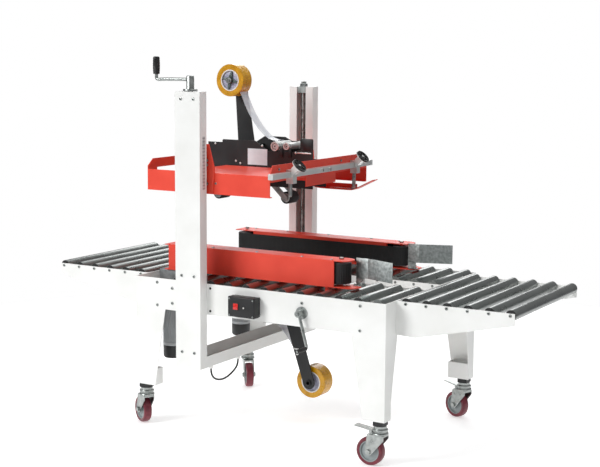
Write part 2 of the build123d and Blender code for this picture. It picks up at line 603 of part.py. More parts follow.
def tape_roll():
    """Roll of tape on its core, and the hub that carries it on the spindle."""
    tape = tube((ROLL_X, -ROLL_HALF, ROLL_Z), (0, 1, 0), 2 * ROLL_HALF, ROLL_R, CORE_R - 2)
    hub = tube((ROLL_X, -ROLL_HALF, ROLL_Z), (0, 1, 0), 2 * ROLL_HALF, CORE_R - 2, HUB_R - 3)
    hub += tube((ROLL_X, -ROLL_HALF, ROLL_Z), (0, 1, 0), 2 * ROLL_HALF, SPINDLE_R + 6, SPINDLE_R + AXLE_FIT)
    for k in range(6):
        spoke = block((SPINDLE_R + 5, HUB_R - 2), (-ROLL_HALF + 4, ROLL_HALF - 4), (-2, 2))
        hub += Pos(ROLL_X, 0, ROLL_Z) * Rot(0, 60 * k, 0) * spoke
    return [tape, hub]


# ---- side drives ---------------------------------------------------------------
def drive_plate(infeed_end, z):
    """Floor or roof of a side drive, with a rounded nose at the infeed end."""
    near, far = -DRIVE_INNER - DRIVE_DEPTH, -DRIVE_INNER - 4
    corner = 34.0
    plate = block((DRIVE_PULLEY_X - PULLEY_R - BELT, infeed_end), (near, far), z)
    edges = plate.edges().filter_by(Axis.Z).group_by(Axis.X)[-1]
    return fillet(edges, corner)


def drive_housing():
    """Front side drive: cover, floor, roof, belt bed, idler pin, two bored hangers and the infeed guide."""
    outer, top = DRIVE_INNER + DRIVE_DEPTH, DRIVE_LOW + DRIVE_HEIGHT
    middle = -(DRIVE_INNER + PULLEY_R + BELT)
    floor = drive_plate(IDLER_X + 78, (DRIVE_LOW, DRIVE_LOW + SHEET))
    roof = drive_plate(IDLER_X + 50, (top - SHEET, top))
    cover = block((DRIVE_PULLEY_X - 18, IDLER_X - 6), (-outer, -outer + SHEET), (DRIVE_LOW, top))
    bed = block((DRIVE_PULLEY_X + 48, IDLER_X - 48), (-DRIVE_INNER - 15, -DRIVE_INNER - BELT - 1),
                (DRIVE_LOW, top))
    housing = floor + roof + cover + bed
    housing += rod((IDLER_X, middle, DRIVE_LOW), (0, 0, 1), DRIVE_HEIGHT, 6)
    block_z = (SHAFT_Z - 17, SHAFT_Z + 17)
    for x, half, span in ((EXIT_SHAFT_X, 4, (EXIT_SHAFT_X - 14, EXIT_SHAFT_X + 14)),
                          (INFEED_SHAFT_X, 6, (WIDTH_SCREW_X - 15, INFEED_SHAFT_X + 15))):
        housing += block((x - half, x + half), (middle - 18, middle + 18), (SHAFT_Z, DRIVE_LOW))
        housing += block(span, (middle - 18, middle + 18), block_z)
        housing -= rod((x, middle - 20, SHAFT_Z), (0, 1, 0), 40, SHAFT_R + AXLE_FIT)
    housing -= rod((WIDTH_SCREW_X, middle - 20, SHAFT_Z), (0, 1, 0), 40, WIDTH_SCREW_R + AXLE_FIT)
    housing -= rod((DRIVE_PULLEY_X, middle, DRIVE_LOW - 1), (0, 0, 1), SHEET + 2, 8 + AXLE_FIT)
    guide_y = -DRIVE_INNER - 5
    guide = [(IDLER_X + 44, guide_y), (IDLER_X + 90, guide_y), (IDLER_X + 206, guide_y - 42),
             (IDLER_X + 206, guide_y - 44), (IDLER_X + 90, guide_y - 2), (IDLER_X + 44, guide_y - 2)]
    wing = sheet_xy(guide, (DRIVE_LOW + 30, top + 4))
    wing += block((IDLER_X + 44, IDLER_X + 76), (guide_y - 2, guide_y), (DRIVE_LOW + SHEET, DRIVE_LOW + 31))
    wing += block((IDLER_X + 44, IDLER_X + 76), (guide_y - 22, guide_y),
                  (DRIVE_LOW + SHEET, DRIVE_LOW + 2 * SHEET))
    return [housing, wing]


def drive_belt():
    """Front belt round both pulleys."""
    middle = -(DRIVE_INNER + PULLEY_R + BELT)
    gap = 0.3
    run = IDLER_X - DRIVE_PULLEY_X
    centre = ((IDLER_X + DRIVE_PULLEY_X) / 2, middle)
    outline = SlotCenterToCenter(run, 2 * (PULLEY_R + BELT)) - SlotCenterToCenter(run, 2 * (PULLEY_R + gap))
    low = DRIVE_LOW + (DRIVE_HEIGHT - BELT_WIDTH) / 2
    return extrude(Pos(centre[0], centre[1], low) * outline, amount=BELT_WIDTH)


def drive_pulley():
    """Driven pulley with its shaft into the gearbox."""
    middle = -(DRIVE_INNER + PULLEY_R + BELT)
    low = DRIVE_LOW + (DRIVE_HEIGHT - BELT_WIDTH) / 2 - 2
    pulley = rod((DRIVE_PULLEY_X, middle, low), (0, 0, 1), BELT_WIDTH + 4, PULLEY_R)
    return pulley + rod((DRIVE_PULLEY_X, middle, DRIVE_LOW - 14), (0, 0, 1), DRIVE_HEIGHT + 8, 8)


def idler_pulley():
    """Idler pulley on its fixed pin."""
    middle = -(DRIVE_INNER + PULLEY_R + BELT)
    low = DRIVE_LOW + (DRIVE_HEIGHT - BELT_WIDTH) / 2 - 2
    return tube((IDLER_X, middle, low), (0, 0, 1), BELT_WIDTH + 4, PULLEY_R, 6 + AXLE_FIT)


def drive_motor():
    """Upright gear motor that hangs under the drive: gearbox, body and fan cover."""
    middle = -(DRIVE_INNER + PULLEY_R + BELT)
    gearbox = block((MOTOR_X - MOTOR_R, DRIVE_PULLEY_X + 16), (middle - 34, middle + 34),
                    (DRIVE_LOW - 60, DRIVE_LOW))
    gearbox -= rod((DRIVE_PULLEY_X, middle, DRIVE_LOW - 15), (0, 0, 1), 16, 8 + AXLE_FIT)
    body = rod((MOTOR_X, middle, MOTOR_LOW + 50), (0, 0, 1), DRIVE_LOW - 60 - MOTOR_LOW - 50, MOTOR_R)
    fan = rod((MOTOR_X, middle, MOTOR_LOW), (0, 0, 1), 50, MOTOR_R - 1)
    return gearbox + body + fan


def slide_shafts():
    """Two fixed shafts across the bed that both side drives slide on."""
    reach = BED_HALF_WIDTH - SHEET + BLIND
    return [rod((x, -reach, SHAFT_Z), (0, 1, 0), 2 * reach, SHAFT_R) for x in (EXIT_SHAFT_X, INFEED_SHAFT_X)]


def width_bearing():
    """Three-bolt flange that carries the width screw on the front panel."""
    flange = rod((WIDTH_SCREW_X, -BED_HALF_WIDTH, SHAFT_Z), (0, -1, 0), 5, FLANGE_R)
    flange += rod((WIDTH_SCREW_X, -BED_HALF_WIDTH - 5, SHAFT_Z), (0, -1, 0), 5, FLANGE_R / 2)
    for k in range(3):
        angle, reach = radians(90 + 120 * k), FLANGE_R - 6
        spot = (WIDTH_SCREW_X + reach * cos(angle), -BED_HALF_WIDTH - 5, SHAFT_Z + reach * sin(angle))
        flange += bolt_head(spot, (0, -1, 0), 3.5, 3)
    bore = rod((WIDTH_SCREW_X, -BED_HALF_WIDTH + 1, SHAFT_Z), (0, -1, 0), 12, WIDTH_SCREW_R + AXLE_FIT)
    return flange - bore


def width_crank():
    """Width screw across the bed with its crank arm and grip."""
    x, z = WIDTH_SCREW_X, SHAFT_Z
    hub_y = -BED_HALF_WIDTH - 11
    screw = rod((x, hub_y, z), (0, 1, 0), BED_HALF_WIDTH - SHEET - 1 - hub_y, WIDTH_SCREW_R)
    hub = rod((x, hub_y - 20, z), (0, 1, 0), 20, 12)
    arm_y = hub_y - 10
    reach = Vector(CRANK_REACH[0], 0, CRANK_REACH[1])
    end = Vector(x, arm_y, z) + reach
    arm = rod((x, arm_y, z), reach, reach.length, CRANK_ROD_R)
    arm += Pos(*end) * Sphere(CRANK_ROD_R)
    arm += rod(end, (0, -1, 0), arm_y - GRIP_END_Y, CRANK_ROD_R)
    grip = tube((end.X, arm_y - 8, end.Z), (0, -1, 0), arm_y - 8 - GRIP_END_Y, GRIP_R, CRANK_ROD_R)
    return [screw + hub + arm, grip]


# ---- controls -------------------------------------------------------------------
def control_box():
    """Switch box on the front panel, with the rocker's opening and a small lamp."""
    face = BED_HALF_WIDTH + BOX_DEPTH
    shell = block(BOX_X, (-face, -BED_HALF_WIDTH), BOX_Z)
    shell -= block((BOX_X[0] + 2, BOX_X[1] - 2), (-face + 2, -BED_HALF_WIDTH + 1),
                   (BOX_Z[0] + 2, BOX_Z[1] - 2))
    shell -= block((ROCKER_X - ROCKER[0] / 2 - 0.5, ROCKER_X + ROCKER[0] / 2 + 0.5), (-face - 1, -face + 3),
                   (ROCKER_Z - ROCKER[2] / 2 - 1.2, ROCKER_Z + ROCKER[2] / 2 + 1.2))
    shell += block((ROCKER_X + 16, BOX_X[1] - 2), (-BED_HALF_WIDTH - 8, -BED_HALF_WIDTH),
                   (BOX_Z[0] + 2, BOX_Z[1] - 2))
    return shell + rod((ROCKER_X + 33, -face, ROCKER_Z - 2.5), (0, -1, 0), 3, 3.5)


def rocker_switch():
    """Rocker that tips about its own middle."""
    face = BED_HALF_WIDTH + BOX_DEPTH
    return block((ROCKER_X - ROCKER[0] / 2, ROCKER_X + ROCKER[0] / 2), (-face - 5, -face + ROCKER[1] - 5),
                 (ROCKER_Z - ROCKER[2] / 2, ROCKER_Z + ROCKER[2] / 2))


# ---- casters ---------------------------------------------------------------------
def place_caster(shape, corner):
    """Turn a caster made along +X and put it under one corner's leg."""
    side_x = -1 if corner.endswith("exit") else 1
    side_y = -1 if corner.startswith("front") else 1
    return Pos(side_x * PLUG_X, side_y * PLUG_Y, 0) * Rot(0, 0, CASTER_TURN[corner]) * shape


def caster_fork(braked):
    """Swivel stem, head and fork with the wheel's axle, and the brake pedal's pin."""
    cheek_y = WHEEL_WIDTH / 2 + 3
    top = LEG_BOTTOM - PLUG_HEIGHT - 1
    fork = rod((0, 0, 112), (0, 0, 1), top - 112, 22)
    fork += rod((0, 0, top), (0, 0, 1), PLUG_HEIGHT - 2, STEM_R)
    fork += block((-22, 40), (-cheek_y - 3, cheek_y + 3), (106, 112))
    outline = [(-22, 112), (40, 112), (CASTER_TRAIL + 13, WHEEL_R), (CASTER_TRAIL + 8, WHEEL_R - 13),
               (CASTER_TRAIL - 8, WHEEL_R - 13), (-22, 96)]
    for y in (-cheek_y - 3, cheek_y):
        fork += sheet_xz(outline, (y, y + 3))
    if braked:
        fork += block((PEDAL_X - 3, PEDAL_X + 3), (-8, 8), (110, PEDAL_Z + 3))
        fork += rod((PEDAL_X, -15, PEDAL_Z), (0, 1, 0), 30, PEDAL_PIN_R)
    return fork + rod((CASTER_TRAIL, -cheek_y - 5, WHEEL_R), (0, 1, 0), 2 * (cheek_y + 5), 6)


def caster_wheel():
    """Tread and hub on the fork's axle."""
    tread = tube((CASTER_TRAIL, -WHEEL_WIDTH / 2, WHEEL_R), (0, 1, 0), WHEEL_WIDTH, WHEEL_R, 6 + AXLE_FIT)
    return fillet(tread.edges().filter_by(GeomType.CIRCLE).sort_by(SortBy.RADIUS)[-2:], 4)


def brake_pedal():
    """Pedal that swings down over the wheel, on the pin of its fork."""
    pad = sheet_xz([(PEDAL_X, 124), (PEDAL_X + 64, 132), (PEDAL_X + 63, 136), (PEDAL_X - 4, 128)], (-14, 14))
    pedal = pad
    ear = [(PEDAL_X - 6, 114), (PEDAL_X + 6, 114), (PEDAL_X + 6, 126), (PEDAL_X - 4, 128)]
    for y in (-14, 11):
        pedal += sheet_xz(ear, (y, y + 3))
    return pedal - rod((PEDAL_X, -16, PEDAL_Z), (0, 1, 0), 32, PEDAL_PIN_R + AXLE_FIT)


def glands():
    """Two glands under the beam that the loop of cable hangs between."""
    return [rod((GLAND_X, y, COLUMN_LOW), (0, 0, -1), 12, 8) for y in GLAND_Y]


def cable():
    """Cable loop along straight runs joined by large arcs."""
    points = [Vector(*point) for point in CORD_POINTS]
    radii = []
    for before, at, after in zip(points, points[1:], points[2:]):
        turn = (at - before).get_angle(after - at)
        run = min((at - before).length, (after - at).length)
        radii.append(0.45 * run / tan(radians(turn) / 2))
    path = FilletPolyline(*points, radius=radii)
    return sweep(Plane(origin=points[0], z_dir=points[1] - points[0]) * Circle(CORD_R), path=path)


# ---- the nodes --------------------------------------------------------------------
def main():
    os.makedirs("parts", exist_ok=True)
    save("bed_panels", *bed_panels())
    save("legs", *four_corners(leg()))
    save("leg_plugs", *four_corners(leg_plug()))
    save("bed_rollers", *bed_rollers())
    save("table_frames", *table_frames())
    save("table_rollers", *table_rollers())
    save("frame_bolts", *frame_bolts())
    save("front_column", column())
    save("rear_column", to_rear(column()))
    save("screw_bearings", *column_bearings(), width_bearing())
    save("cross_beam", cross_beam(), *glands())
    save("front_lead_screw", lead_screw())
    save("rear_lead_screw", to_rear(lead_screw()))
    save("height_crank", *height_crank())
    save("head_frame", head_frame())
    save("head_carriages", *head_carriages())
    save("ski_bar", *ski_bar())
    upper_pads = (HEAD_TOP - 34, HEAD_TOP - 9)
    save("upper_tape_head", tape_head_body(TAPE_HALF + 12, upper_pads, UPPER_ARM_ROOT))
    lower_pads = (LOWER_TURN_Z - (ROLLER_Z - 8), LOWER_TURN_Z - (ROLLER_Z - 18))
    save("lower_tape_head", to_lower(tape_head_body(RAIL_Y, lower_pads, LOWER_ARM_ROOT)))
    save("upper_tape_roll", *tape_roll())
    save("lower_tape_roll", *[to_lower(part) for part in tape_roll()])
    pivots = tape_pivots(UPPER_EXIT_X)
    for end, lower_end in (("front", "rear"), ("rear", "front")):
        arm = wiper_arm(pivots[end], WIPER_Z, pivots[f"{end}_pivot"], PIVOT_Z)
        save(f"upper_{end}_arm", arm)
        save(f"upper_{end}_wiper", wiper(pivots[end], WIPER_Z))
        save(f"lower_{lower_end}_arm", to_lower(arm))
        save(f"lower_{lower_end}_wiper", to_lower(wiper(pivots[end], WIPER_Z)))
    save("front_ski_rod", bare_rod())
    save("rear_ski", to_rear(ski()))
    for side, place in (("front", lambda shape: shape), ("rear", to_rear)):
        save(f"{side}_ski_clamp", place(ski_clamp()))
        save(f"{side}_clamp_knob", place(clamp_knob()))
        save(f"{side}_drive_housing", *[place(part) for part in drive_housing()])
        save(f"{side}_drive_belt", place(drive_belt()))
        save(f"{side}_drive_pulley", place(drive_pulley()))
        save(f"{side}_idler_pulley", place(idler_pulley()))
        save(f"{side}_drive_motor", place(drive_motor()))
    save("slide_shafts", *slide_shafts())
    save("width_crank", *width_crank())
    save("control_box", control_box())
    save("rocker_switch", rocker_switch())
    for corner in CASTER_TURN:
        save(f"{corner}_caster_fork", place_caster(caster_fork(corner in BRAKED), corner))
        save(f"{corner}_caster_wheel", place_caster(caster_wheel(), corner))
        if corner in BRAKED:
            save(f"{corner}_brake_pedal", place_caster(brake_pedal(), corner))
    save("hanging_cable", cable())


main()
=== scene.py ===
"""Looks of the carton sealer: powder-coated sheet, zinc, rubber, plastic and tape on the fixed frame."""
import json
from math import atan2, cos, pi, radians, sin

import bmesh
import bpy
from mathutils import Matrix, Vector


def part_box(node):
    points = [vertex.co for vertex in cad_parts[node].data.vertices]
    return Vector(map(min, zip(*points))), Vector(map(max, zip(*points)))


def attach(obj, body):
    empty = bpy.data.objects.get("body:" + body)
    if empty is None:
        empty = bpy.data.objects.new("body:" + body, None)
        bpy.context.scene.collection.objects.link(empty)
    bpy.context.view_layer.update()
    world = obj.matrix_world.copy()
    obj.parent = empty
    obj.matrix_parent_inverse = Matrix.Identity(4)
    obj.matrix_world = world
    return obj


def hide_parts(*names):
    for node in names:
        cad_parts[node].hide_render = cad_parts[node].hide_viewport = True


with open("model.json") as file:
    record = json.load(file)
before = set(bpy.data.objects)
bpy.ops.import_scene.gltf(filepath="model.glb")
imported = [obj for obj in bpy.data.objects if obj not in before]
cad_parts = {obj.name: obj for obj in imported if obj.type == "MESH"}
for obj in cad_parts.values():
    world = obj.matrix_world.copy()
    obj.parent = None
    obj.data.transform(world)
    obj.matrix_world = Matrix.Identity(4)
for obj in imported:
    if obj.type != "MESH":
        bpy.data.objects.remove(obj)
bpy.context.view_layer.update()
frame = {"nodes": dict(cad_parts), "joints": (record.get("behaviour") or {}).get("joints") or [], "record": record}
BED_LOW, BED_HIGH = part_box("bed_panels")
MIDDLE = (BED_LOW.y + BED_HIGH.y) / 2
MM = 0.001
TO_METRES = Matrix.Translation((0, MIDDLE, 0)) @ Matrix.Scale(MM, 4)
# The lower tape head is the upper one turned end for end: a reflection through one point, in millimetres.
TO_LOWER = Matrix.Translation((-298, 0, 1452)) @ Matrix.Diagonal((-1, -1, -1, 1))
JOINTS = {joint["name"]: joint for joint in frame["joints"]}
# A tape roll's middle, in millimetres, on the upper head.
ROLL_X, ROLL_Z = -332.0, 1289.0
# A gear motor's upright axis under the front drive.
MOTOR_X, MOTOR_Y = -455.0, -236.0
# A caster's wheel behind its swivel, and its radius.
TRAIL, WHEEL_R = 35, 50


def spot(joint):
    """A joint's place in millimetres from the machine's middle."""
    x, y, z = JOINTS[joint]["pos_m"]
    return Vector((x, y - MIDDLE, z)) / MM


# ---- finishes ---------------------------------------------------------------
def hex_colour(code):
    """Linear RGBA from an sRGB hex value."""
    parts = [int(code[i:i + 2], 16) / 255 for i in (0, 2, 4)]
    return [p / 12.92 if p <= 0.04045 else ((p + 0.055) / 1.055) ** 2.4 for p in parts] + [1.0]


def add(tree, kind, options=None, values=None, links=None):
    """Add a node with its options, its sockets' values and the links into it."""
    node = tree.nodes.new(kind)
    for name, value in (options or {}).items():
        setattr(node, name, value)
    for socket, value in (values or {}).items():
        node.inputs[socket].default_value = value
    for socket, source in (links or {}).items():
        tree.links.new(source, node.inputs[socket])
    return node


def skin(name, light, dark, patch, grain, depth, rough, **shader):
    """A finish that drifts between two tones over patch mm, with a grain of a given size and depth in mm."""
    material = bpy.data.materials.new(name)
    material.use_nodes = True
    tree = material.node_tree
    principled = tree.nodes["Principled BSDF"]
    for socket, value in shader.items():
        principled.inputs[socket.replace("_", " ")].default_value = value
    place = add(tree, "ShaderNodeTexCoord").outputs["Object"]
    drift = add(tree, "ShaderNodeTexNoise", values={"Scale": 1 / (patch * MM), "Detail": 3.0},
                links={"Vector": place})
    tone = add(tree, "ShaderNodeMapRange", values={1: 0.35, 2: 0.65}, links={0: drift.outputs[0]})
    tones = {6: hex_colour(dark), 7: hex_colour(light)}
    colour = add(tree, "ShaderNodeMix", {"data_type": "RGBA"}, tones, {0: tone.outputs[0]})
    fine = add(tree, "ShaderNodeTexNoise", values={"Scale": 1 / (grain * MM), "Detail": 2.0},
               links={"Vector": place})
    gloss = add(tree, "ShaderNodeMapRange", values={1: 0.3, 2: 0.7, 3: rough[0], 4: rough[1]},
                links={0: drift.outputs[0]})
    bump = add(tree, "ShaderNodeBump", values={"Strength": 1.0, "Distance": depth * MM},
               links={"Height": fine.outputs[0]})
    tree.links.new(colour.outputs[2], principled.inputs["Base Color"])
    tree.links.new(gloss.outputs[0], principled.inputs["Roughness"])
    tree.links.new(bump.outputs[0], principled.inputs["Normal"])
    return material


def waves(material, pitch, depth, axis):
    """Put ridges of the given pitch and depth in mm on top of a finish's grain."""
    tree = material.node_tree
    place = add(tree, "ShaderNodeTexCoord").outputs["Object"]
    option = {"wave_type": "BANDS", "bands_direction": axis}
    # A wave texture's own period is pi / (10 x scale) along its axis.
    ridges = add(tree, "ShaderNodeTexWave", option, {"Scale": pi / (10 * pitch * MM)}, {"Vector": place})
    old = tree.nodes["Principled BSDF"].inputs["Normal"].links[0].from_socket
    bump = add(tree, "ShaderNodeBump", values={"Strength": 1.0, "Distance": depth * MM},
               links={"Height": ridges.outputs["Fac"], "Normal": old})
    tree.links.new(bump.outputs[0], tree.nodes["Principled BSDF"].inputs["Normal"])
    return material


# Polyester powder coat, sprayed and baked: even, faintly pebbled, satin.
WHITE = skin("white_powder_coat", "F3F4F2", "EBECE9", 160, 3.0, 0.03, (0.38, 0.50))
RED = skin("red_powder_coat", "EE4A34", "E23F2B", 140, 3.0, 0.03, (0.42, 0.52), Coat_Weight=0.05)
BLACK = skin("black_powder_coat", "141618", "0F1012", 90, 2.5, 0.05, (0.36, 0.50))
# Bright zinc plate on turned and pressed steel: grey with a faint cloud.
ZINC = skin("zinc_plate", "B4B8B6", "8F9492", 22, 1.2, 0.03, (0.24, 0.40), Metallic=1.0)
# Hot-dip galvanised sheet: spangle about a fingernail wide.
GALVANISED = skin("galvanised_sheet", "B9BFBE", "979E9C", 9, 5.0, 0.05, (0.30, 0.48), Metallic=0.85)
# Drawn roller tube: grey zinc, polished in use, with fine marks round it.
ROLLER = skin("roller_tube", "8B8F8D", "7A7E7C", 140, 2.0, 0.02, (0.24, 0.32), Metallic=1.0)
THREADED = waves(skin("rolled_thread", "9A9D9B", "6F7371", 20, 1.5, 0.02, (0.25, 0.38), Metallic=1.0),
                 5.0, 0.9, "Z")
# Machined aluminium, bright, and the cast gearbox with its sand grain.
ALUMINIUM = skin("machined_aluminium", "E0E2E0", "D6D8D6", 60, 1.0, 0.03, (0.34, 0.44), Metallic=0.75)
CAST = skin("cast_aluminium", "8D9192", "7A7E7F", 14, 1.6, 0.18, (0.42, 0.58), Metallic=0.8)
ENAMEL = skin("grey_enamel", "B5B9BB", "A6AAAC", 60, 2.5, 0.04, (0.34, 0.46))
# Injection-moulded polypropylene and ABS.
PLASTIC = skin("black_moulding", "17181A", "101112", 30, 1.2, 0.05, (0.40, 0.55))
RUBBER = skin("black_rubber", "1B1B1C", "131314", 25, 1.5, 0.06, (0.60, 0.78))
BELT = waves(skin("ribbed_belt", "1A1B1C", "121314", 25, 1.5, 0.05, (0.52, 0.66)), 6.0, 0.8, "X")
GRIP = skin("grip_plastic", "141415", "0D0D0E", 18, 1.0, 0.05, (0.38, 0.50))
# Polyurethane tread and nylon wheel centre.
TREAD = skin("polyurethane_tread", "7A2A38", "5E1B28", 28, 2.0, 0.04, (0.30, 0.42))
WHEEL_GREY = skin("nylon_grey", "98A0A1", "868E8F", 25, 1.5, 0.03, (0.42, 0.55))
# Wound packing film: amber through its thickness, glossy on the rim.
TAPE = waves(skin("wound_film", "D69E0A", "BE8800", 26, 2.0, 0.03, (0.24, 0.34), Coat_Weight=0.15),
             3.0, 0.05, "Y")
CORE = skin("card_core", "E8E6E2", "D6D4D0", 12, 1.0, 0.05, (0.60, 0.75))
HUB = skin("hub_nylon", "5C6A66", "48554F", 14, 1.0, 0.04, (0.35, 0.48))
HUB_PALE = skin("hub_disc", "B9BACB", "9798AE", 11, 1.0, 0.04, (0.30, 0.45))
SWITCH = skin("switch_polycarbonate", "E0322C", "C81F1C", 9, 0.8, 0.01, (0.16, 0.26), Coat_Weight=0.4)
LABEL = skin("blank_plate", "DFF1F6", "D3E6EB", 40, 2.0, 0.01, (0.35, 0.45))
LENS = skin("pale_lens", "F0EFEA", "DDDCD6", 6, 0.8, 0.01, (0.18, 0.28))
# Painted shade: dark discs at the bottom of the bolts' hexagon sockets, where the recess falls in shade.
SOCKET_SHADE = skin("socket_shadow", "2A2C2D", "1C1E1F", 8, 0.6, 0.02, (0.45, 0.60), Metallic=0.6)
CABLE = skin("cable_sheath", "161718", "0F1011", 20, 1.0, 0.02, (0.42, 0.56))
# Clear packing film off the roll, cloudy where the adhesive stretches.
FILM = skin("clear_film", "EEF0F4", "D5D9E2", 30, 4.0, 0.05, (0.12, 0.24), Alpha=0.55)


def scale_finish():
    """Anodised rule with grey marks 12 mm apart, coarser than real ones so that they show."""
    material = skin("anodised_rule", "D5D7D6", "C6C9C8", 20, 1.5, 0.02, (0.35, 0.45), Metallic=0.3)
    tree = material.node_tree
    place = add(tree, "ShaderNodeSeparateXYZ", links={0: add(tree, "ShaderNodeTexCoord").outputs["Object"]})
    steps = add(tree, "ShaderNodeMath", {"operation": "MODULO"}, {1: 12 * MM}, {0: place.outputs["Z"]})
    mark = add(tree, "ShaderNodeMath", {"operation": "LESS_THAN"}, {1: 4 * MM}, {0: steps.outputs[0]})
    base = tree.nodes["Principled BSDF"].inputs["Base Color"]
    mix = add(tree, "ShaderNodeMix", {"data_type": "RGBA"}, {7: hex_colour("A6AAAB")}, {0: mark.outputs[0]})
    tree.links.new(base.links[0].from_socket, mix.inputs[6])
    tree.links.new(mix.outputs[2], base)
    return material


RULE = scale_finish()
NODE_FINISH = {
    "white_powder_coat": WHITE, "red_powder_coat": RED, "black_powder_coat": BLACK, "zinc_steel": ZINC,
    "grey_aluminium": CAST, "black_plastic": PLASTIC, "black_rubber": RUBBER, "amber_tape": TAPE,
    "maroon_tread": TREAD, "red_plastic": SWITCH,
    "bed_rollers": ROLLER, "table_rollers": ROLLER, "front_lead_screw": THREADED, "rear_lead_screw": THREADED,
    "front_drive_belt": BELT, "rear_drive_belt": BELT, "ski_bar": ALUMINIUM, "front_ski_clamp": ALUMINIUM,
    "rear_ski_clamp": ALUMINIUM, "screw_bearings": ZINC,
}


def dress_nodes():
    """Give every CAD node its finish."""
    for row in frame["record"]["subparts"]:
        node = frame["nodes"][row["node"]]
        node.data.materials.clear()
        node.data.materials.append(NODE_FINISH.get(row["node"], NODE_FINISH[row["material_slot"]]))


# ---- making pieces ------------------------------------------------------------
def piece(name, bm, finish, body, replaces=(), turn=None, sharp=35):
    """Turn a bmesh in millimetres into a piece in the frame, riding on its body."""
    bmesh.ops.remove_doubles(bm, verts=bm.verts, dist=0.001)
    if turn is not None:
        bmesh.ops.transform(bm, matrix=turn, verts=bm.verts)
    bmesh.ops.transform(bm, matrix=TO_METRES, verts=bm.verts)
    bmesh.ops.recalc_face_normals(bm, faces=bm.faces)
    mesh = bpy.data.meshes.new(name)
    bm.to_mesh(mesh)
    bm.free()
    mesh.polygons.foreach_set("use_smooth", [True] * len(mesh.polygons))
    mesh.set_sharp_from_angle(angle=radians(sharp))
    mesh.materials.append(finish)
    made = bpy.data.objects.new(name, mesh)
    bpy.context.scene.collection.objects.link(made)
    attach(made, body)
    if replaces:
        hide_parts(*replaces)
    return made


def lathe(bm, profile, start, axis, closed=True, steps=40):
    """Spin an outline of (radius, distance along the axis) round an axis."""
    along = Vector(axis).normalized()
    side = along.orthogonal().normalized()
    points = [bm.verts.new(Vector(start) + side * radius + along * at) for radius, at in profile]
    ends = points[1:] + (points[:1] if closed else [])
    edges = [bm.edges.new(pair) for pair in zip(points, ends)]
    bmesh.ops.spin(bm, geom=points + edges, cent=start, axis=along, angle=2 * pi, steps=steps, use_merge=True)


def bar(bm, start, axis, length, radius, edge=0.6, steps=24):
    """Round bar with chamfered ends."""
    profile = [(0, 0), (radius - edge, 0), (radius, edge), (radius, length - edge), (radius - edge, length),
               (0, length)]
    lathe(bm, profile, start, axis, closed=False, steps=steps)


def ring(bm, start, axis, length, outer, inner, edge=0.6, steps=40):
    """Tube with chamfered outer edges."""
    profile = [(inner, 0), (outer - edge, 0), (outer, edge), (outer, length - edge), (outer - edge, length),
               (inner, length)]
    lathe(bm, profile, start, axis, steps=steps)


def slab(bm, low, high, edge=1.0, segments=2):
    """Rounded block between two corners."""
    low, high = Vector(low), Vector(high)
    size = high - low
    matrix = Matrix.Translation((low + high) / 2) @ Matrix.Diagonal((*size, 1))
    corners = bmesh.ops.create_cube(bm, size=1, matrix=matrix)["verts"]
    edges = list({item for corner in corners for item in corner.link_edges})
    bmesh.ops.bevel(bm, geom=edges, offset=edge, segments=segments, profile=0.5, affect="EDGES", material=-1)


def hexagon(bm, start, axis, height, across, edge=0.8):
    """Hexagon nut or bolt head standing on a point."""
    turn = Vector(axis).to_track_quat("Z", "Y").to_matrix().to_4x4()
    matrix = Matrix.Translation(Vector(start) + Vector(axis).normalized() * height / 2) @ turn
    corners = bmesh.ops.create_cone(bm, cap_ends=True, segments=6, radius1=across / 2, radius2=across / 2,
                                    depth=height, matrix=matrix)["verts"]
    top = Vector(start) + Vector(axis).normalized() * height
    rim = [item for item in {e for v in corners for e in v.link_edges}
           if all((v.co - top).dot(Vector(axis)) > -0.01 for v in item.verts)]
    bmesh.ops.bevel(bm, geom=rim, offset=edge, segments=1, profile=0.5, affect="EDGES", material=-1)


def plate(bm, outline, thickness, axis="Y", at=0.0, edge=0.5):
    """Flat plate with an outline in the other two axes and softened edges."""
    order = {"Y": lambda a, b: (a, at, b), "X": lambda a, b: (at, a, b), "Z": lambda a, b: (a, b, at)}[axis]
    face = bm.faces.new([bm.verts.new(order(a, b)) for a, b in outline])
    made = bmesh.ops.extrude_face_region(bm, geom=[face])["geom"]
    moved = [item for item in made if isinstance(item, bmesh.types.BMVert)]
    push = {"X": (thickness, 0, 0), "Y": (0, thickness, 0), "Z": (0, 0, thickness)}[axis]
    bmesh.ops.translate(bm, vec=push, verts=moved)
    rims = list({e for v in moved for e in v.link_edges})
    bmesh.ops.bevel(bm, geom=rims, offset=edge, segments=2, profile=0.5, affect="EDGES", material=-1)


def smooth_line(points, steps=10):
    """Points along the smooth spline that follows a route."""
    data = bpy.data.curves.new("route", "CURVE")
    data.dimensions = "3D"
    spline = data.splines.new("NURBS")
    spline.points.add(len(points) - 1)
    for point, at in zip(spline.points, points):
        point.co = (*at, 1)
    spline.order_u = 3
    spline.use_endpoint_u = True
    spline.resolution_u = steps
    route = bpy.data.objects.new("route", data)
    mesh = bpy.data.meshes.new_from_object(route)
    line = [vertex.co.copy() for vertex in mesh.vertices]
    bpy.data.objects.remove(route)
    bpy.data.curves.remove(data)
    bpy.data.meshes.remove(mesh)
    return line


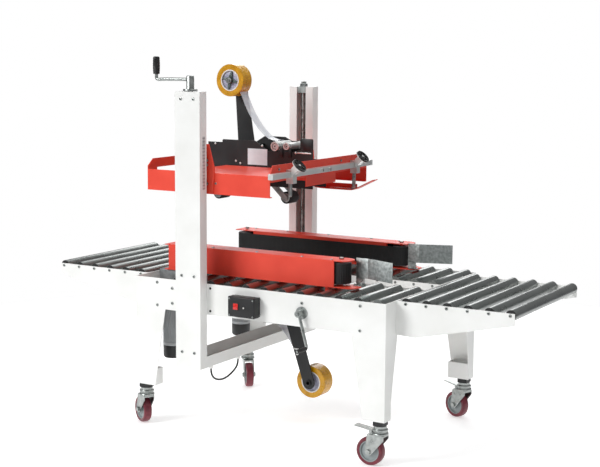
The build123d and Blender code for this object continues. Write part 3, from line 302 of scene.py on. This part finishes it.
def bent_rod(bm, points, radius, steps=14):
    """Round rod along a smooth route, closed at both ends."""
    line = smooth_line(points)
    start = (line[1] - line[0]).normalized()
    turn = start.to_track_quat("Z", "Y").to_matrix().to_4x4()
    loop = bmesh.ops.create_circle(bm, cap_ends=True, segments=steps, radius=radius,
                                   matrix=Matrix.Translation(line[0]) @ turn)["verts"]
    face = next(f for f in loop[0].link_faces if len(f.verts) == steps)
    heading = start
    for before, at, after in zip(line, line[1:], line[2:] + [2 * line[-1] - line[-2]]):
        made = bmesh.ops.extrude_face_region(bm, geom=[face])["geom"]
        verts = [item for item in made if isinstance(item, bmesh.types.BMVert)]
        fresh = next(item for item in made if isinstance(item, bmesh.types.BMFace))
        if before is not line[0]:
            bmesh.ops.delete(bm, geom=[face], context="FACES_ONLY")
        bmesh.ops.translate(bm, vec=at - before, verts=verts)
        aim = (after - before).normalized()
        bmesh.ops.rotate(bm, cent=at, matrix=heading.rotation_difference(aim).to_matrix(), verts=verts)
        heading, face = aim, fresh


def both(names):
    """Front and rear of the machine, with the matrix that puts a front piece there."""
    return [(name, None if name == "front" else Matrix.Diagonal((1, -1, 1, 1))) for name in names]


# ---- bed, tables and columns ----------------------------------------------------
FIRST_ROLLER, PITCH, TABLE_SIDE, BED_SIDE, COLUMN_FACE = 557.5, 75.0, 300.0, 375.0, 417.0
COLUMN_X, SCREW_Y = spot("front_screw_turn").x, abs(spot("front_screw_turn").y)
ROLLER_Z = 561.0


def roller_caps():
    """Black end caps of the conveying rollers."""
    bm = bmesh.new()
    ends = [(side * (FIRST_ROLLER + PITCH * k), 292.5) for k in range(6) for side in (-1, 1)]
    ends += [(side * PITCH * (k + 0.5), 367.5) for k in range(6) for side in (-1, 1) if k < 5 or side > 0]
    for x, y in ends:
        for side in (-1, 1):
            lathe(bm, [(5.5, 0), (18.4, 0), (18.4, 2.4), (17.0, 3.4), (9.0, 3.4), (5.5, 4.0)],
                  (x, side * y, ROLLER_Z), (0, side, 0), steps=20)
    piece("roller_end_caps", bm, PLASTIC, "frame")


def bolt_places():
    """Every bolt of the bed, tables and columns as a place and the way it faces."""
    places = []
    for side in (-1, 1):
        out = (0, side, 0)
        places += [((turn * (FIRST_ROLLER + PITCH * k), side * TABLE_SIDE, ROLLER_Z), out)
                   for k in range(6) for turn in (-1, 1)]
        places += [((COLUMN_X + dx, side * COLUMN_FACE, z), out)
                   for dx in (-27, 27) for z in (317, 598, 1232)]
        places += [((turn * 424, side * BED_SIDE, z), out) for turn in (-1, 1) for z in (468, 553)]
        places += [((x, side * BED_SIDE, z), out) for x, z in ((-356, 481), (-356, 537), (196, 539))]
    return places


def frame_bolts():
    """Zinc pan heads, with a dark disc painted as shade at the bottom of each hexagon socket."""
    heads, socket_shades = bmesh.new(), bmesh.new()
    for at, out in bolt_places():
        lathe(heads, [(2.9, 0.2), (5.6, 0), (5.6, 1.4), (4.6, 3.1), (2.9, 3.5)], at, out, steps=20)
        # A dark disc painted as the shade inside the socket.
        bar(socket_shades, at, out, 1.6, 2.9, edge=0.2, steps=6)
    piece("frame_bolt_heads", heads, ZINC, "frame", ["frame_bolts"])
    piece("frame_bolt_socket_shades", socket_shades, SOCKET_SHADE, "frame")


def panel_plugs():
    """Two dark plugged holes in the front panel beside the column."""
    bm = bmesh.new()
    for z in (470, 553):
        lathe(bm, [(0, 1.0), (3.4, 1.0), (4.6, 0.6), (4.6, 0)], (-187.5, -BED_SIDE, z), (0, -1, 0),
              closed=False, steps=20)
    piece("panel_plugs", bm, PLASTIC, "frame")


def column_rule():
    """Height rule on the front column's infeed face."""
    bm = bmesh.new()
    slab(bm, (COLUMN_X + 54, -400, 912), (COLUMN_X + 54.8, -385, 1100), edge=0.2, segments=1)
    piece("height_rule", bm, RULE, "frame")


def screw_tops():
    """Locknut and washer on the rear lead screw where it leaves its column."""
    bm = bmesh.new()
    at = (COLUMN_X, SCREW_Y, 1258.5)
    ring(bm, at, (0, 0, 1), 2.0, 17, 10.3, edge=0.4)
    hexagon(bm, (COLUMN_X, SCREW_Y, 1260.5), (0, 0, 1), 9, 30)
    piece("rear_screw_nut", bm, ZINC, "rear_screw")


def grip(bm, start, axis, length, radius, hole):
    """Ribbed hand grip with a swollen middle."""
    ribs = 9
    profile = [(hole, 0), (radius * 0.82, 0), (radius * 0.9, 1.5)]
    for k in range(ribs):
        low = 4 + (length - 9) * k / ribs
        high = 4 + (length - 9) * (k + 1) / ribs
        swell = radius * (0.93 + 0.07 * sin(pi * (k + 0.5) / ribs))
        profile += [(swell - 1.1, low), (swell, low + 1.4), (swell, high - 1.6)]
    profile += [(radius * 0.9, length - 4), (radius * 0.78, length - 0.8), (radius * 0.6, length)]
    lathe(bm, profile + [(hole, length)], start, axis, steps=36)


def height_crank():
    """Crank on top of the front column: collar, hub, bent arm and grip."""
    bm = bmesh.new()
    hub = [(0, 19), (10.2, 19), (10.2, 0), (25, 0), (26, 1), (26, 5), (25, 6.5), (15, 7), (14, 9), (14, 50),
           (12.5, 53), (9, 54), (0, 54)]
    lathe(bm, hub, (COLUMN_X, -SCREW_Y, 1260), (0, 0, 1), closed=False)
    bent_rod(bm, [(COLUMN_X - 8, -SCREW_Y, 1300), (-320, -SCREW_Y, 1300), (-378, -SCREW_Y, 1299),
                  (-404, -SCREW_Y, 1297), (-404, -SCREW_Y, 1320), (-404, -SCREW_Y, 1345),
                  (-404, -SCREW_Y, 1375)], 6)
    bar(bm, (-404, -SCREW_Y, 1376), (0, 0, 1), 4, 5.5)
    piece("height_crank_steel", bm, ZINC, "front_screw", ["height_crank"])
    bm = bmesh.new()
    grip(bm, (-404, -SCREW_Y, 1317), (0, 0, 1), 62.5, 13, 6.1)
    piece("height_crank_grip", bm, GRIP, "front_screw")


def width_crank():
    """Width screw across the bed with its crank arm and grip."""
    x, z = spot("width_crank_turn").x, spot("width_crank_turn").z
    bm = bmesh.new()
    bar(bm, (x, -386, z), (0, 1, 0), 757, 8)
    ring(bm, (x, -406, z), (0, 1, 0), 20, 12, 0.5)
    hexagon(bm, (x, -406, z), (0, -1, 0), 4, 13)
    bent_rod(bm, [(x, -396, z), (x + 12, -396, z - 40), (x + 27, -396, z - 93), (x + 34, -397, z - 117),
                  (x + 34, -410, z - 117), (x + 34, -430, z - 117), (x + 34, -464, z - 117)], 5.5)
    piece("width_crank_steel", bm, ZINC, "width_screw", ["width_crank"])
    bm = bmesh.new()
    grip(bm, (x + 34, -404, z - 117), (0, -1, 0), 62.5, 8, 5.6)
    piece("width_crank_grip", bm, GRIP, "width_screw")


def control_box():
    """Switch box with a rounded shell, a lid seam, screws, a rocker key and an indicator."""
    bm = bmesh.new()
    slab(bm, (-84, -418, 470), (27, -382, 543), edge=4, segments=3)
    slab(bm, (-82, -384, 471.5), (25, -375, 541.5), edge=1, segments=1)
    slab(bm, (-62, -419.6, 494.5), (-36, -417.5, 522.5), edge=0.9)
    piece("switch_box", bm, PLASTIC, "frame", ["control_box"])
    bm = bmesh.new()
    for x in (-77, 20):
        for z in (477, 536):
            lathe(bm, [(1.2, 0), (3.2, 0), (3.2, 0.5), (2.2, 1.6), (1.2, 1.2)], (x, -418, z), (0, -1, 0),
                  steps=16)
    for z in (480, 534):
        lathe(bm, [(1.0, 0), (3.0, 0), (3.0, 0.5), (2.0, 1.4), (1.0, 1.0)], (27, -379, z), (1, 0, 0),
              steps=16)
    piece("switch_box_screws", bm, ZINC, "frame")
    bm = bmesh.new()
    lathe(bm, [(0, 4), (1.8, 4), (2.8, 3.2), (3.2, 2), (3.2, 0)], (-16, -418, 506), (0, -1, 0),
          closed=False, steps=24)
    piece("indicator_lens", bm, LENS, "frame")
    bm = bmesh.new()
    ring(bm, (-16, -418, 506), (0, -1, 0), 2.2, 5, 3.3)
    piece("indicator_bezel", bm, PLASTIC, "frame")
    bm = bmesh.new()
    tip = spot("rocker_tip")
    slab(bm, tip + Vector((-9.7, -3.5, -10.7)), tip + Vector((9.7, 8, 10.7)), edge=1.4, segments=3)
    ridge = [v for v in bm.verts if v.co.y < tip.y - 1 and abs(v.co.z - tip.z) > 5]
    bmesh.ops.translate(bm, vec=(0, -1.6, 0), verts=[v for v in ridge if v.co.z < tip.z])
    piece("rocker_key", bm, SWITCH, "rocker", ["rocker_switch"])


# ---- tape heads -------------------------------------------------------------------
def tape_roll(half, body, turn):
    """Wound tape, its card core, and the hub's discs and blades; the nut that holds it comes with the head's
    spindle nuts.
    """
    x, z = ROLL_X, ROLL_Z
    axis = (0, 1, 0)
    bm = bmesh.new()
    wound = [(40.6, -29.6), (60.2, -30), (61, -29.2), (61, 29.2), (60.2, 30), (40.6, 29.6)]
    lathe(bm, wound, (x, 0, z), axis, steps=96)
    piece(f"{half}_tape", bm, TAPE, body, [f"{half}_tape_roll"], turn)
    bm = bmesh.new()
    lathe(bm, [(36.4, -30.4), (40.5, -30.4), (40.5, 30.4), (36.4, 30.4)], (x, 0, z), axis, steps=72)
    piece(f"{half}_tape_core", bm, CORE, body, (), turn)
    bm = bmesh.new()
    for y in (-24, 20):
        lathe(bm, [(14, y), (34, y), (36.3, y + 1), (36.3, y + 4), (14, y + 4)], (x, 0, z), axis, steps=60)
    piece(f"{half}_hub_discs", bm, HUB_PALE, body, (), turn)
    bm = bmesh.new()
    ring(bm, (x, -29, z), axis, 58, 14.2, 8.2, steps=32)
    for k in range(4):
        slab(bm, (6, -30.5, -7), (35.8, -23.5, 7), edge=1.2)
        near = [v for v in bm.verts if v.co.length < 60]
        for v in near:
            reach = (v.co.x - 6) / 30
            v.co.z *= 1.35 - 1.1 * reach
        spin = Matrix.Translation((x, 0, z)) @ Matrix.Rotation(radians(90 * k + 12), 4, "Y")
        bmesh.ops.transform(bm, matrix=spin, verts=near)
    piece(f"{half}_hub_blades", bm, HUB, body, (), turn)


def head_details(half, body, turn, arm_x):
    """Guide rollers, screws, a bright strip painted as the highlight along a slot, blank plate, brackets, spindle
    nuts and tape film of one tape head.
    """
    bm = bmesh.new()
    for x, z, radius in ((-114, 1049, 17), (-64, 1051, 13)):
        lathe(bm, [(radius - 1, -47), (radius + 0.2, -47), (radius + 0.9, -46), (radius + 0.9, -38),
                   (radius + 0.3, -37), (radius + 0.3, 34), (radius + 0.9, 35), (radius + 0.9, 44),
                   (radius - 1, 46)], (x, 0, z), (0, 1, 0), steps=32)
        ring(bm, (x, -58, z), (0, 1, 0), 9, radius + 0.6, radius - 5, edge=1.0)
        ring(bm, (x, -56, z), (0, 1, 0), 8, radius - 7, 3.2, edge=0.5)
    piece(f"{half}_guide_rollers", bm, ALUMINIUM, body, (), turn)
    bm = bmesh.new()
    near = ((-384, 1048), (-173, 1048), (-26, 1028), (35, 1066), (-290, 986), (-270, 978), (-400, 912),
            (-190, 960), (-275, 960), (30, 912))
    far = ((-400, 1038), (-228, 1046), (22, 980), (-118, 1015), (-190, 960), (-275, 960), (-330, 1030),
           (-290, 1030))
    for y, out, spots in ((-50, -1, near), (50, 1, far)):
        for x, z in spots:
            lathe(bm, [(0, 1.3), (1.6, 1.3), (1.9, 3.0), (3.6, 2.7), (4.6, 0.9), (4.6, 0)], (x, y, z),
                  (0, out, 0), closed=False, steps=20)
    # Painted highlight: a bright aluminium strip below the near bracket stands for the highlight along a slot.
    slab(bm, (-20, -52.5, 1026), (40, -50, 1031), edge=0.6)
    slab(bm, (arm_x - 22, 46.8, 1162), (arm_x + 16, 48.4, 1167), edge=0.5)
    hexagon(bm, (arm_x, 47, 1181.5), (0, 1, 0), 4.5, 13)
    piece(f"{half}_head_screws_and_highlight_strip", bm, ALUMINIUM, body, (), turn)
    bm = bmesh.new()
    slab(bm, (-237, -51.2, 975), (-150, -50, 1036), edge=0.4, segments=1)
    piece(f"{half}_blank_plate", bm, LABEL, body, (), turn)
    bm = bmesh.new()
    for x in (-88, -52):
        slab(bm, (x - 7, -54, 1010), (x + 7, -50, 1044), edge=1.2)
    plate(bm, [(10, 1040), (47, 1040), (47, 1082), (2, 1082), (-6, 1070), (4, 1056)], -4, "Y", -50.0)
    lathe(bm, [(0, 3), (9, 3), (11, 1.5), (11, 0)], (ROLL_X, 50, ROLL_Z), (0, 1, 0), closed=False)
    piece(f"{half}_head_brackets", bm, BLACK, body, (), turn)
    bm = bmesh.new()
    hexagon(bm, (ROLL_X, -37, ROLL_Z), (0, -1, 0), 5, 14)
    ring(bm, (ROLL_X, -37, ROLL_Z), (0, -1, 0), 1.6, 12, 6, edge=0.4)
    hexagon(bm, (ROLL_X, 47, ROLL_Z), (0, 1, 0), 6, 17)
    piece(f"{half}_spindle_nuts", bm, ZINC, body, (), turn)
    route = smooth_line([(-289, 0, 1247), (-279, 0, 1224), (-254, 0, 1171), (-216, 0, 1118), (-178, 0, 1082),
                         (-146, 0, 1068), (-119, 0, 1067.5)], steps=8)
    bm = bmesh.new()
    edge = bm.edges.new([bm.verts.new((route[0].x, y, route[0].z)) for y in (-24, 24)])
    for before, at in zip(route, route[1:]):
        made = bmesh.ops.extrude_edge_only(bm, edges=[edge])["geom"]
        bmesh.ops.translate(bm, vec=at - before, verts=[v for v in made if isinstance(v, bmesh.types.BMVert)])
        edge = next(item for item in made if isinstance(item, bmesh.types.BMEdge))
    bmesh.ops.recalc_face_normals(bm, faces=bm.faces)
    bmesh.ops.solidify(bm, geom=list(bm.faces), thickness=0.3)
    film = piece(f"{half}_film", bm, FILM, body, (), turn, sharp=60)


def wiper(name):
    """Rubber wipe-down roller with rounded edges and zinc side discs."""
    at = spot(f"{name}_wiper_turn")
    bm = bmesh.new()
    lathe(bm, [(9, -31), (20, -31), (22.4, -29.8), (23, -28), (23, 28), (22.4, 29.8), (20, 31), (9, 31)], at,
          (0, 1, 0), steps=48)
    piece(f"{name}_rubber", bm, RUBBER, f"{name}_wiper", [f"{name}_wiper"])
    bm = bmesh.new()
    for side in (-1, 1):
        lathe(bm, [(5.2, 31), (17, 31), (17.5, 32), (16, 33.5), (5.2, 34)], at, (0, side, 0), steps=32)
    piece(f"{name}_side_discs", bm, ZINC, f"{name}_wiper")


# ---- lifting head -------------------------------------------------------------------
def head_bolts():
    """Bolts of the side bars and carriages, and the nut at each gusset's apex."""
    bm = bmesh.new()
    for side in (-1, 1):
        out = (0, side, 0)
        for z in (1014, 998, 930) if side < 0 else (986, 930):
            for x in (-206, -306):
                hexagon(bm, (x, side * 365, z), out, 4.5, 11)
        lathe(bm, [(0, 2), (3, 2), (4.2, 1), (4.6, 0)], (-173, side * 360, 932), out, closed=False, steps=16)
        for x in (-320, 10):
            hexagon(bm, (x, side * 62, 950), (0, -side, 0), 4.0, 10)
    for y in (-300, -150, 150, 300):
        hexagon(bm, (54, y, 990), (1, 0, 0), 4, 10)
    piece("head_bolts", bm, ZINC, "head")
    bm = bmesh.new()
    for side in (-1, 1):
        hexagon(bm, (74, side * 28, 968), (1, 0, 0), 5.5, 13)
    piece("ski_bar_bolts", bm, ZINC, "head")


def clamp_knob(side):
    """Dished black knob with a fluted rim and a bright edge, tilted back at 45 degrees."""
    start = spot(f"{side}_knob_turn")
    axis = Vector(JOINTS[f"{side}_knob_turn"]["axis"]).normalized()
    face = start + axis * 30
    bm = bmesh.new()
    lathe(bm, [(0, 7.5), (7, 7.5), (9.5, 6), (14.5, 5.2), (22.3, 5.4), (24.2, 8.6), (27, 9.4), (28.3, 7.5),
               (28.3, 3), (26, 1), (12, 0), (0, 0)], face, axis, closed=False, steps=48)
    turn = axis.to_track_quat("Z", "Y").to_matrix().to_4x4()
    for k in range(6):
        before = set(bm.verts)
        slab(bm, (9, -1.8, 4.6), (24, 1.8, 8.4), edge=0.8)
        fresh = [v for v in bm.verts if v not in before]
        place = Matrix.Translation(face) @ turn @ Matrix.Rotation(k * pi / 3, 4, "Z")
        bmesh.ops.transform(bm, matrix=place, verts=fresh)
    piece(f"{side}_knob_moulding", bm, GRIP, f"{side}_knob", [f"{side}_clamp_knob"])
    bm = bmesh.new()
    ring(bm, face + axis * 1.2, axis, 2.2, 29, 27.6, edge=0.3, steps=48)
    bar(bm, start + axis * 4.5, axis, 26, 4)
    lathe(bm, [(0, 9), (3.4, 9), (4.4, 8), (4.4, 5.6)], face, axis, closed=False, steps=20)
    piece(f"{side}_knob_steel", bm, ALUMINIUM, f"{side}_knob")


def rear_ski():
    """Ski bent from sheet with a smooth upturned nose, a stiffening lip and its upright rod."""
    x, low, half, y = 64.0, 872.0, 22.0, -238.0
    turn = Matrix.Diagonal((1, -1, 1, 1))
    line = smooth_line([(x - 162, 0, low + 4), (x - 150, 0, low), (x - 60, 0, low), (x - 6, 0, low),
                        (x + 8, 0, low + 1), (x + 30, 0, low + 12), (x + 62, 0, low + 28),
                        (x + 91, 0, low + 42)], steps=6)
    bm = bmesh.new()
    edge = bm.edges.new([bm.verts.new((line[0].x, y + d, line[0].z + 1.5)) for d in (-half, half)])
    for before, at in zip(line, line[1:]):
        made = bmesh.ops.extrude_edge_only(bm, edges=[edge])["geom"]
        bmesh.ops.translate(bm, vec=at - before, verts=[v for v in made if isinstance(v, bmesh.types.BMVert)])
        edge = next(item for item in made if isinstance(item, bmesh.types.BMEdge))
    bmesh.ops.recalc_face_normals(bm, faces=bm.faces)
    bmesh.ops.solidify(bm, geom=list(bm.faces), thickness=2.6)
    slab(bm, (x - 156, y - half, low + 2), (x + 4, y - half + 3, low + 20), edge=0.8)
    piece("rear_ski_shoe", bm, RED, "rear_clamp", ["rear_ski"], turn, sharp=50)
    bm = bmesh.new()
    bar(bm, (x, y, low + 3), (0, 0, 1), 80, 7)
    hexagon(bm, (x, y, low + 3), (0, 0, 1), 8, 22)
    piece("rear_ski_upright", bm, ZINC, "rear_clamp", (), turn)


# ---- side drives ----------------------------------------------------------------------
def drive_motor(side, turn):
    """Gear motor under a side drive: ribbed body, terminal box, fan cover and gearbox."""
    x, y = MOTOR_X, MOTOR_Y
    bm = bmesh.new()
    bar(bm, (x, y, 290), (0, 0, 1), 236, 34)
    for low in (290, 514):
        ring(bm, (x, y, low), (0, 0, 1), 12, 38, 30, edge=1.5, steps=48)
    for k in range(30):
        before = set(bm.verts)
        slab(bm, (32, -1.3, 300), (37.6, 1.3, 516), edge=0.4, segments=1)
        place = Matrix.Translation((x, y, 0)) @ Matrix.Rotation(2 * pi * k / 30, 4, "Z")
        bmesh.ops.transform(bm, matrix=place, verts=[v for v in bm.verts if v not in before])
    piece(f"{side}_motor_body", bm, ENAMEL, f"{side}_drive", [f"{side}_drive_motor"], turn)
    bm = bmesh.new()
    fan_cover = [(0, 240), (26, 240), (33, 242), (37, 248), (37.4, 289), (36, 290.5), (0, 290.5)]
    lathe(bm, fan_cover, (x, y, 0), (0, 0, 1), closed=False, steps=48)
    slab(bm, (x + 30, y - 24, 350), (x + 62, y + 24, 430), edge=3, segments=3)
    piece(f"{side}_motor_covers", bm, PLASTIC, f"{side}_drive", (), turn)
    bm = bmesh.new()
    slab(bm, (x - 38, y - 34, 526), (-407, y + 34, 586), edge=5, segments=3)
    for dx in (-30, 40):
        for dy in (-26, 26):
            hexagon(bm, (x + dx, y + dy, 527), (0, 0, -1), 5, 11)
    piece(f"{side}_gearbox", bm, CAST, f"{side}_drive", (), turn)


def guide_wing(side, turn):
    """Galvanised guide at a side drive's infeed end, folded from sheet, with its foot."""
    bm = bmesh.new()
    plate(bm, [(317.7, -204.7), (364.1, -204.7), (480.3, -246.7), (480.3, -249.4), (363.9, -207.3),
               (317.7, -207.3)], 70.6, "Z", 615.7, edge=0.3)
    slab(bm, (317.7, -207.3, 589.1), (350.3, -204.7, 618), edge=0.3, segments=1)
    slab(bm, (317.7, -227.3, 589.1), (350.3, -204.7, 592.3), edge=0.3, segments=1)
    piece(f"{side}_guide_wing", bm, GALVANISED, f"{side}_drive", (), turn)


def drive_bolts(side, turn):
    """Bolts of the side drive's roof, floor and guide wing."""
    bm = bmesh.new()
    for x in (-400, -250, -60, 130, 250):
        lathe(bm, [(0, 1.2), (1.8, 1.2), (2.1, 2.8), (4.2, 2.6), (5.4, 0.8), (5.4, 0)], (x, -264, 682),
              (0, 0, 1), closed=False, steps=18)
    hexagon(bm, (274, -236, 682), (0, 0, 1), 6, 17)
    hexagon(bm, (-423, -236, 684), (0, 0, 1), 6, 15)
    for x in (322, 342):
        hexagon(bm, (x, -216, 592), (0, 0, 1), 5, 11)
    for z in (606, 612):
        hexagon(bm, (340, -207, z), (0, -1, 0), 3, 8)
    piece(f"{side}_drive_bolts", bm, ZINC, f"{side}_drive", (), turn)


# ---- casters ----------------------------------------------------------------------------
def caster(corner):
    """Tread, wheel centre, swivel race and axle nuts of one caster."""
    stem, hub = spot(f"{corner}_swivel"), spot(f"{corner}_wheel_roll")
    heading = atan2(hub.y - stem.y, hub.x - stem.x)
    turn = Matrix.Translation((stem.x, stem.y, 0)) @ Matrix.Rotation(heading, 4, "Z")
    centre, axis = (TRAIL, 0, WHEEL_R), (0, 1, 0)
    bm = bmesh.new()
    lathe(bm, [(37, -14), (39, -15), (46.5, -15), (48.8, -12.5), (49.8, -8), (50, 0), (49.8, 8), (48.8, 12.5),
               (46.5, 15), (39, 15), (37, 14)], centre, axis, steps=64)
    piece(f"{corner}_tread", bm, TREAD, f"{corner}_wheel", [f"{corner}_caster_wheel"], turn)
    bm = bmesh.new()
    spider = [(6.1, -14.5), (13, -14.5), (14.5, -9), (32, -7), (34, -13), (37.4, -13.6), (37.4, 13.6),
              (34, 13), (32, 7), (14.5, 9), (13, 14.5), (6.1, 14.5)]
    lathe(bm, spider, centre, axis, steps=64)
    piece(f"{corner}_wheel_centre", bm, WHEEL_GREY, f"{corner}_wheel", (), turn)
    bm = bmesh.new()
    race = [(6, 111.6), (25, 111.6), (28, 113), (29, 117), (27, 121), (24.5, 122.5), (24.5, 125), (27, 127),
            (27.5, 131), (25, 134.5), (6, 135)]
    lathe(bm, race, (0, 0, 0), (0, 0, 1), steps=48)
    ring(bm, (0, 0, 135), (0, 0, 1), 8.5, 14, 5, edge=1)
    for side in (-1, 1):
        hexagon(bm, (TRAIL, side * 21, WHEEL_R), (0, side, 0), 6.5, 19)
    piece(f"{corner}_swivel_race", bm, ZINC, f"{corner}_fork", (), turn)


# ---- cable --------------------------------------------------------------------------------
def cable():
    """Black cable that hangs in a loop between two glands under the cross beam."""
    points = [(-216, -330, 246), (-216, -330, 224), (-213, -310, 201), (-212, -268, 190), (-212, -226, 193),
              (-213, -184, 206), (-216, -150, 224), (-216, -150, 246)]
    data = bpy.data.curves.new("loop_of_cable", "CURVE")
    data.dimensions = "3D"
    spline = data.splines.new("NURBS")
    spline.points.add(len(points) - 1)
    for point, at in zip(spline.points, points):
        point.co = (*(TO_METRES @ Vector(at)), 1)
    spline.order_u = 3
    spline.use_endpoint_u = True
    spline.resolution_u = 16
    data.bevel_depth = 3.5 * MM
    data.bevel_resolution = 4
    data.use_fill_caps = True
    data.materials.append(CABLE)
    made = bpy.data.objects.new("loop_of_cable", data)
    bpy.context.scene.collection.objects.link(made)
    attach(made, "frame")
    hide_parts("hanging_cable")


# ---- studio ---------------------------------------------------------------------------------
def lamp(name, at, aim, size, power):
    """Soft area light aimed at a point, in metres."""
    data = bpy.data.lights.new(name, "AREA")
    data.shape = "RECTANGLE"
    data.size, data.size_y = size
    data.energy = power
    made = bpy.data.objects.new(name, data)
    made.location = at
    made.rotation_mode = "QUATERNION"
    made.rotation_quaternion = (Vector(aim) - Vector(at)).to_track_quat("-Z", "Y")
    bpy.context.scene.collection.objects.link(made)


def studio():
    """Pale floor, white surroundings, soft lights and the camera."""
    bm = bmesh.new()
    bmesh.ops.create_circle(bm, cap_ends=True, segments=96, radius=2.8)
    mesh = bpy.data.meshes.new("floor")
    bm.to_mesh(mesh)
    bm.free()
    mesh.materials.append(skin("studio_floor", "F6F6F6", "F3F3F3", 900, 40, 0.01, (0.75, 0.85),
                               Emission_Color=(1, 1, 1, 1), Emission_Strength=0.45, Specular_IOR_Level=0.1))
    floor = bpy.data.objects.new("floor", mesh)
    bpy.context.scene.collection.objects.link(floor)
    world = bpy.data.worlds.new("studio")
    world.use_nodes = True
    bpy.context.scene.world = world
    tree = world.node_tree
    back = tree.nodes["Background"]
    seen = add(tree, "ShaderNodeTexCoord").outputs["Generated"]
    place = add(tree, "ShaderNodeSeparateXYZ", links={0: seen})
    ramp = add(tree, "ShaderNodeValToRGB", links={0: place.outputs["Z"]})
    stops = ramp.color_ramp.elements
    stops[0].position, stops[0].color = 0.0, (0.26, 0.26, 0.27, 1)
    stops[1].position, stops[1].color = 1.0, (0.30, 0.31, 0.32, 1)
    for at, level in ((0.30, 0.36), (0.62, 0.36), (0.80, 0.26)):
        stop = stops.new(at)
        stop.color = (level, level, level * 1.01, 1)
    sight = add(tree, "ShaderNodeLightPath").outputs["Is Camera Ray"]
    mix = add(tree, "ShaderNodeMix", {"data_type": "RGBA"}, {7: (1, 1, 1, 1)}, {0: sight, 6: ramp.outputs[0]})
    tree.links.new(mix.outputs[2], back.inputs[0])
    back.inputs[1].default_value = 1.0
    lamp("key", (-3.4, -6.0, 4.2), (0, 0, 0.6), (3.2, 2.6), 345)
    lamp("fill", (3.6, -2.6, 1.6), (0, 0, 0.6), (2.0, 2.0), 5)
    lamp("top", (0.2, 0.4, 3.6), (0, 0, 0.5), (3.0, 1.6), 48)
    lamp("rear", (-1.5, 3.4, 2.2), (0, 0, 0.7), (2.4, 1.6), 40)
    data = bpy.data.cameras.new("camera")
    data.lens = 80.3
    data.sensor_width = 36
    data.clip_end = 200
    camera = bpy.data.objects.new("camera", data)
    yaw, pitch, roll = radians(30.62), radians(7.989), radians(0.376)
    ahead = Vector((-sin(yaw) * cos(pitch), cos(yaw) * cos(pitch), -sin(pitch)))
    level = Vector((cos(yaw), sin(yaw), 0))
    rise = level.cross(ahead)
    right = level * cos(roll) + rise * sin(roll)
    up = rise * cos(roll) - level * sin(roll)
    turn = Matrix((right, up, -ahead)).transposed().to_4x4()
    camera.matrix_world = Matrix.Translation((2.5067, -4.2949 + MIDDLE, 1.4210)) @ turn
    bpy.context.scene.collection.objects.link(camera)
    bpy.context.scene.camera = camera
    bpy.context.scene.view_settings.view_transform = "Standard"


def main():
    """Set up the studio, then dress the nodes and add every piece."""
    studio()
    dress_nodes()
    cable()
    roller_caps()
    frame_bolts()
    panel_plugs()
    column_rule()
    screw_tops()
    height_crank()
    width_crank()
    control_box()
    for half, head, turn, arm_x in (("upper", "head", None, -319), ("lower", "frame", TO_LOWER, -283)):
        tape_roll(half, f"{half}_roll", turn)
        head_details(half, head, turn, arm_x)
        for end in ("front", "rear"):
            wiper(f"{half}_{end}")
    head_bolts()
    rear_ski()
    for side, turn in both(("front", "rear")):
        clamp_knob(side)
        drive_motor(side, turn)
        guide_wing(side, turn)
        drive_bolts(side, turn)
    for corner in ("front_exit", "front_infeed", "rear_exit", "rear_infeed"):
        caster(corner)


main()
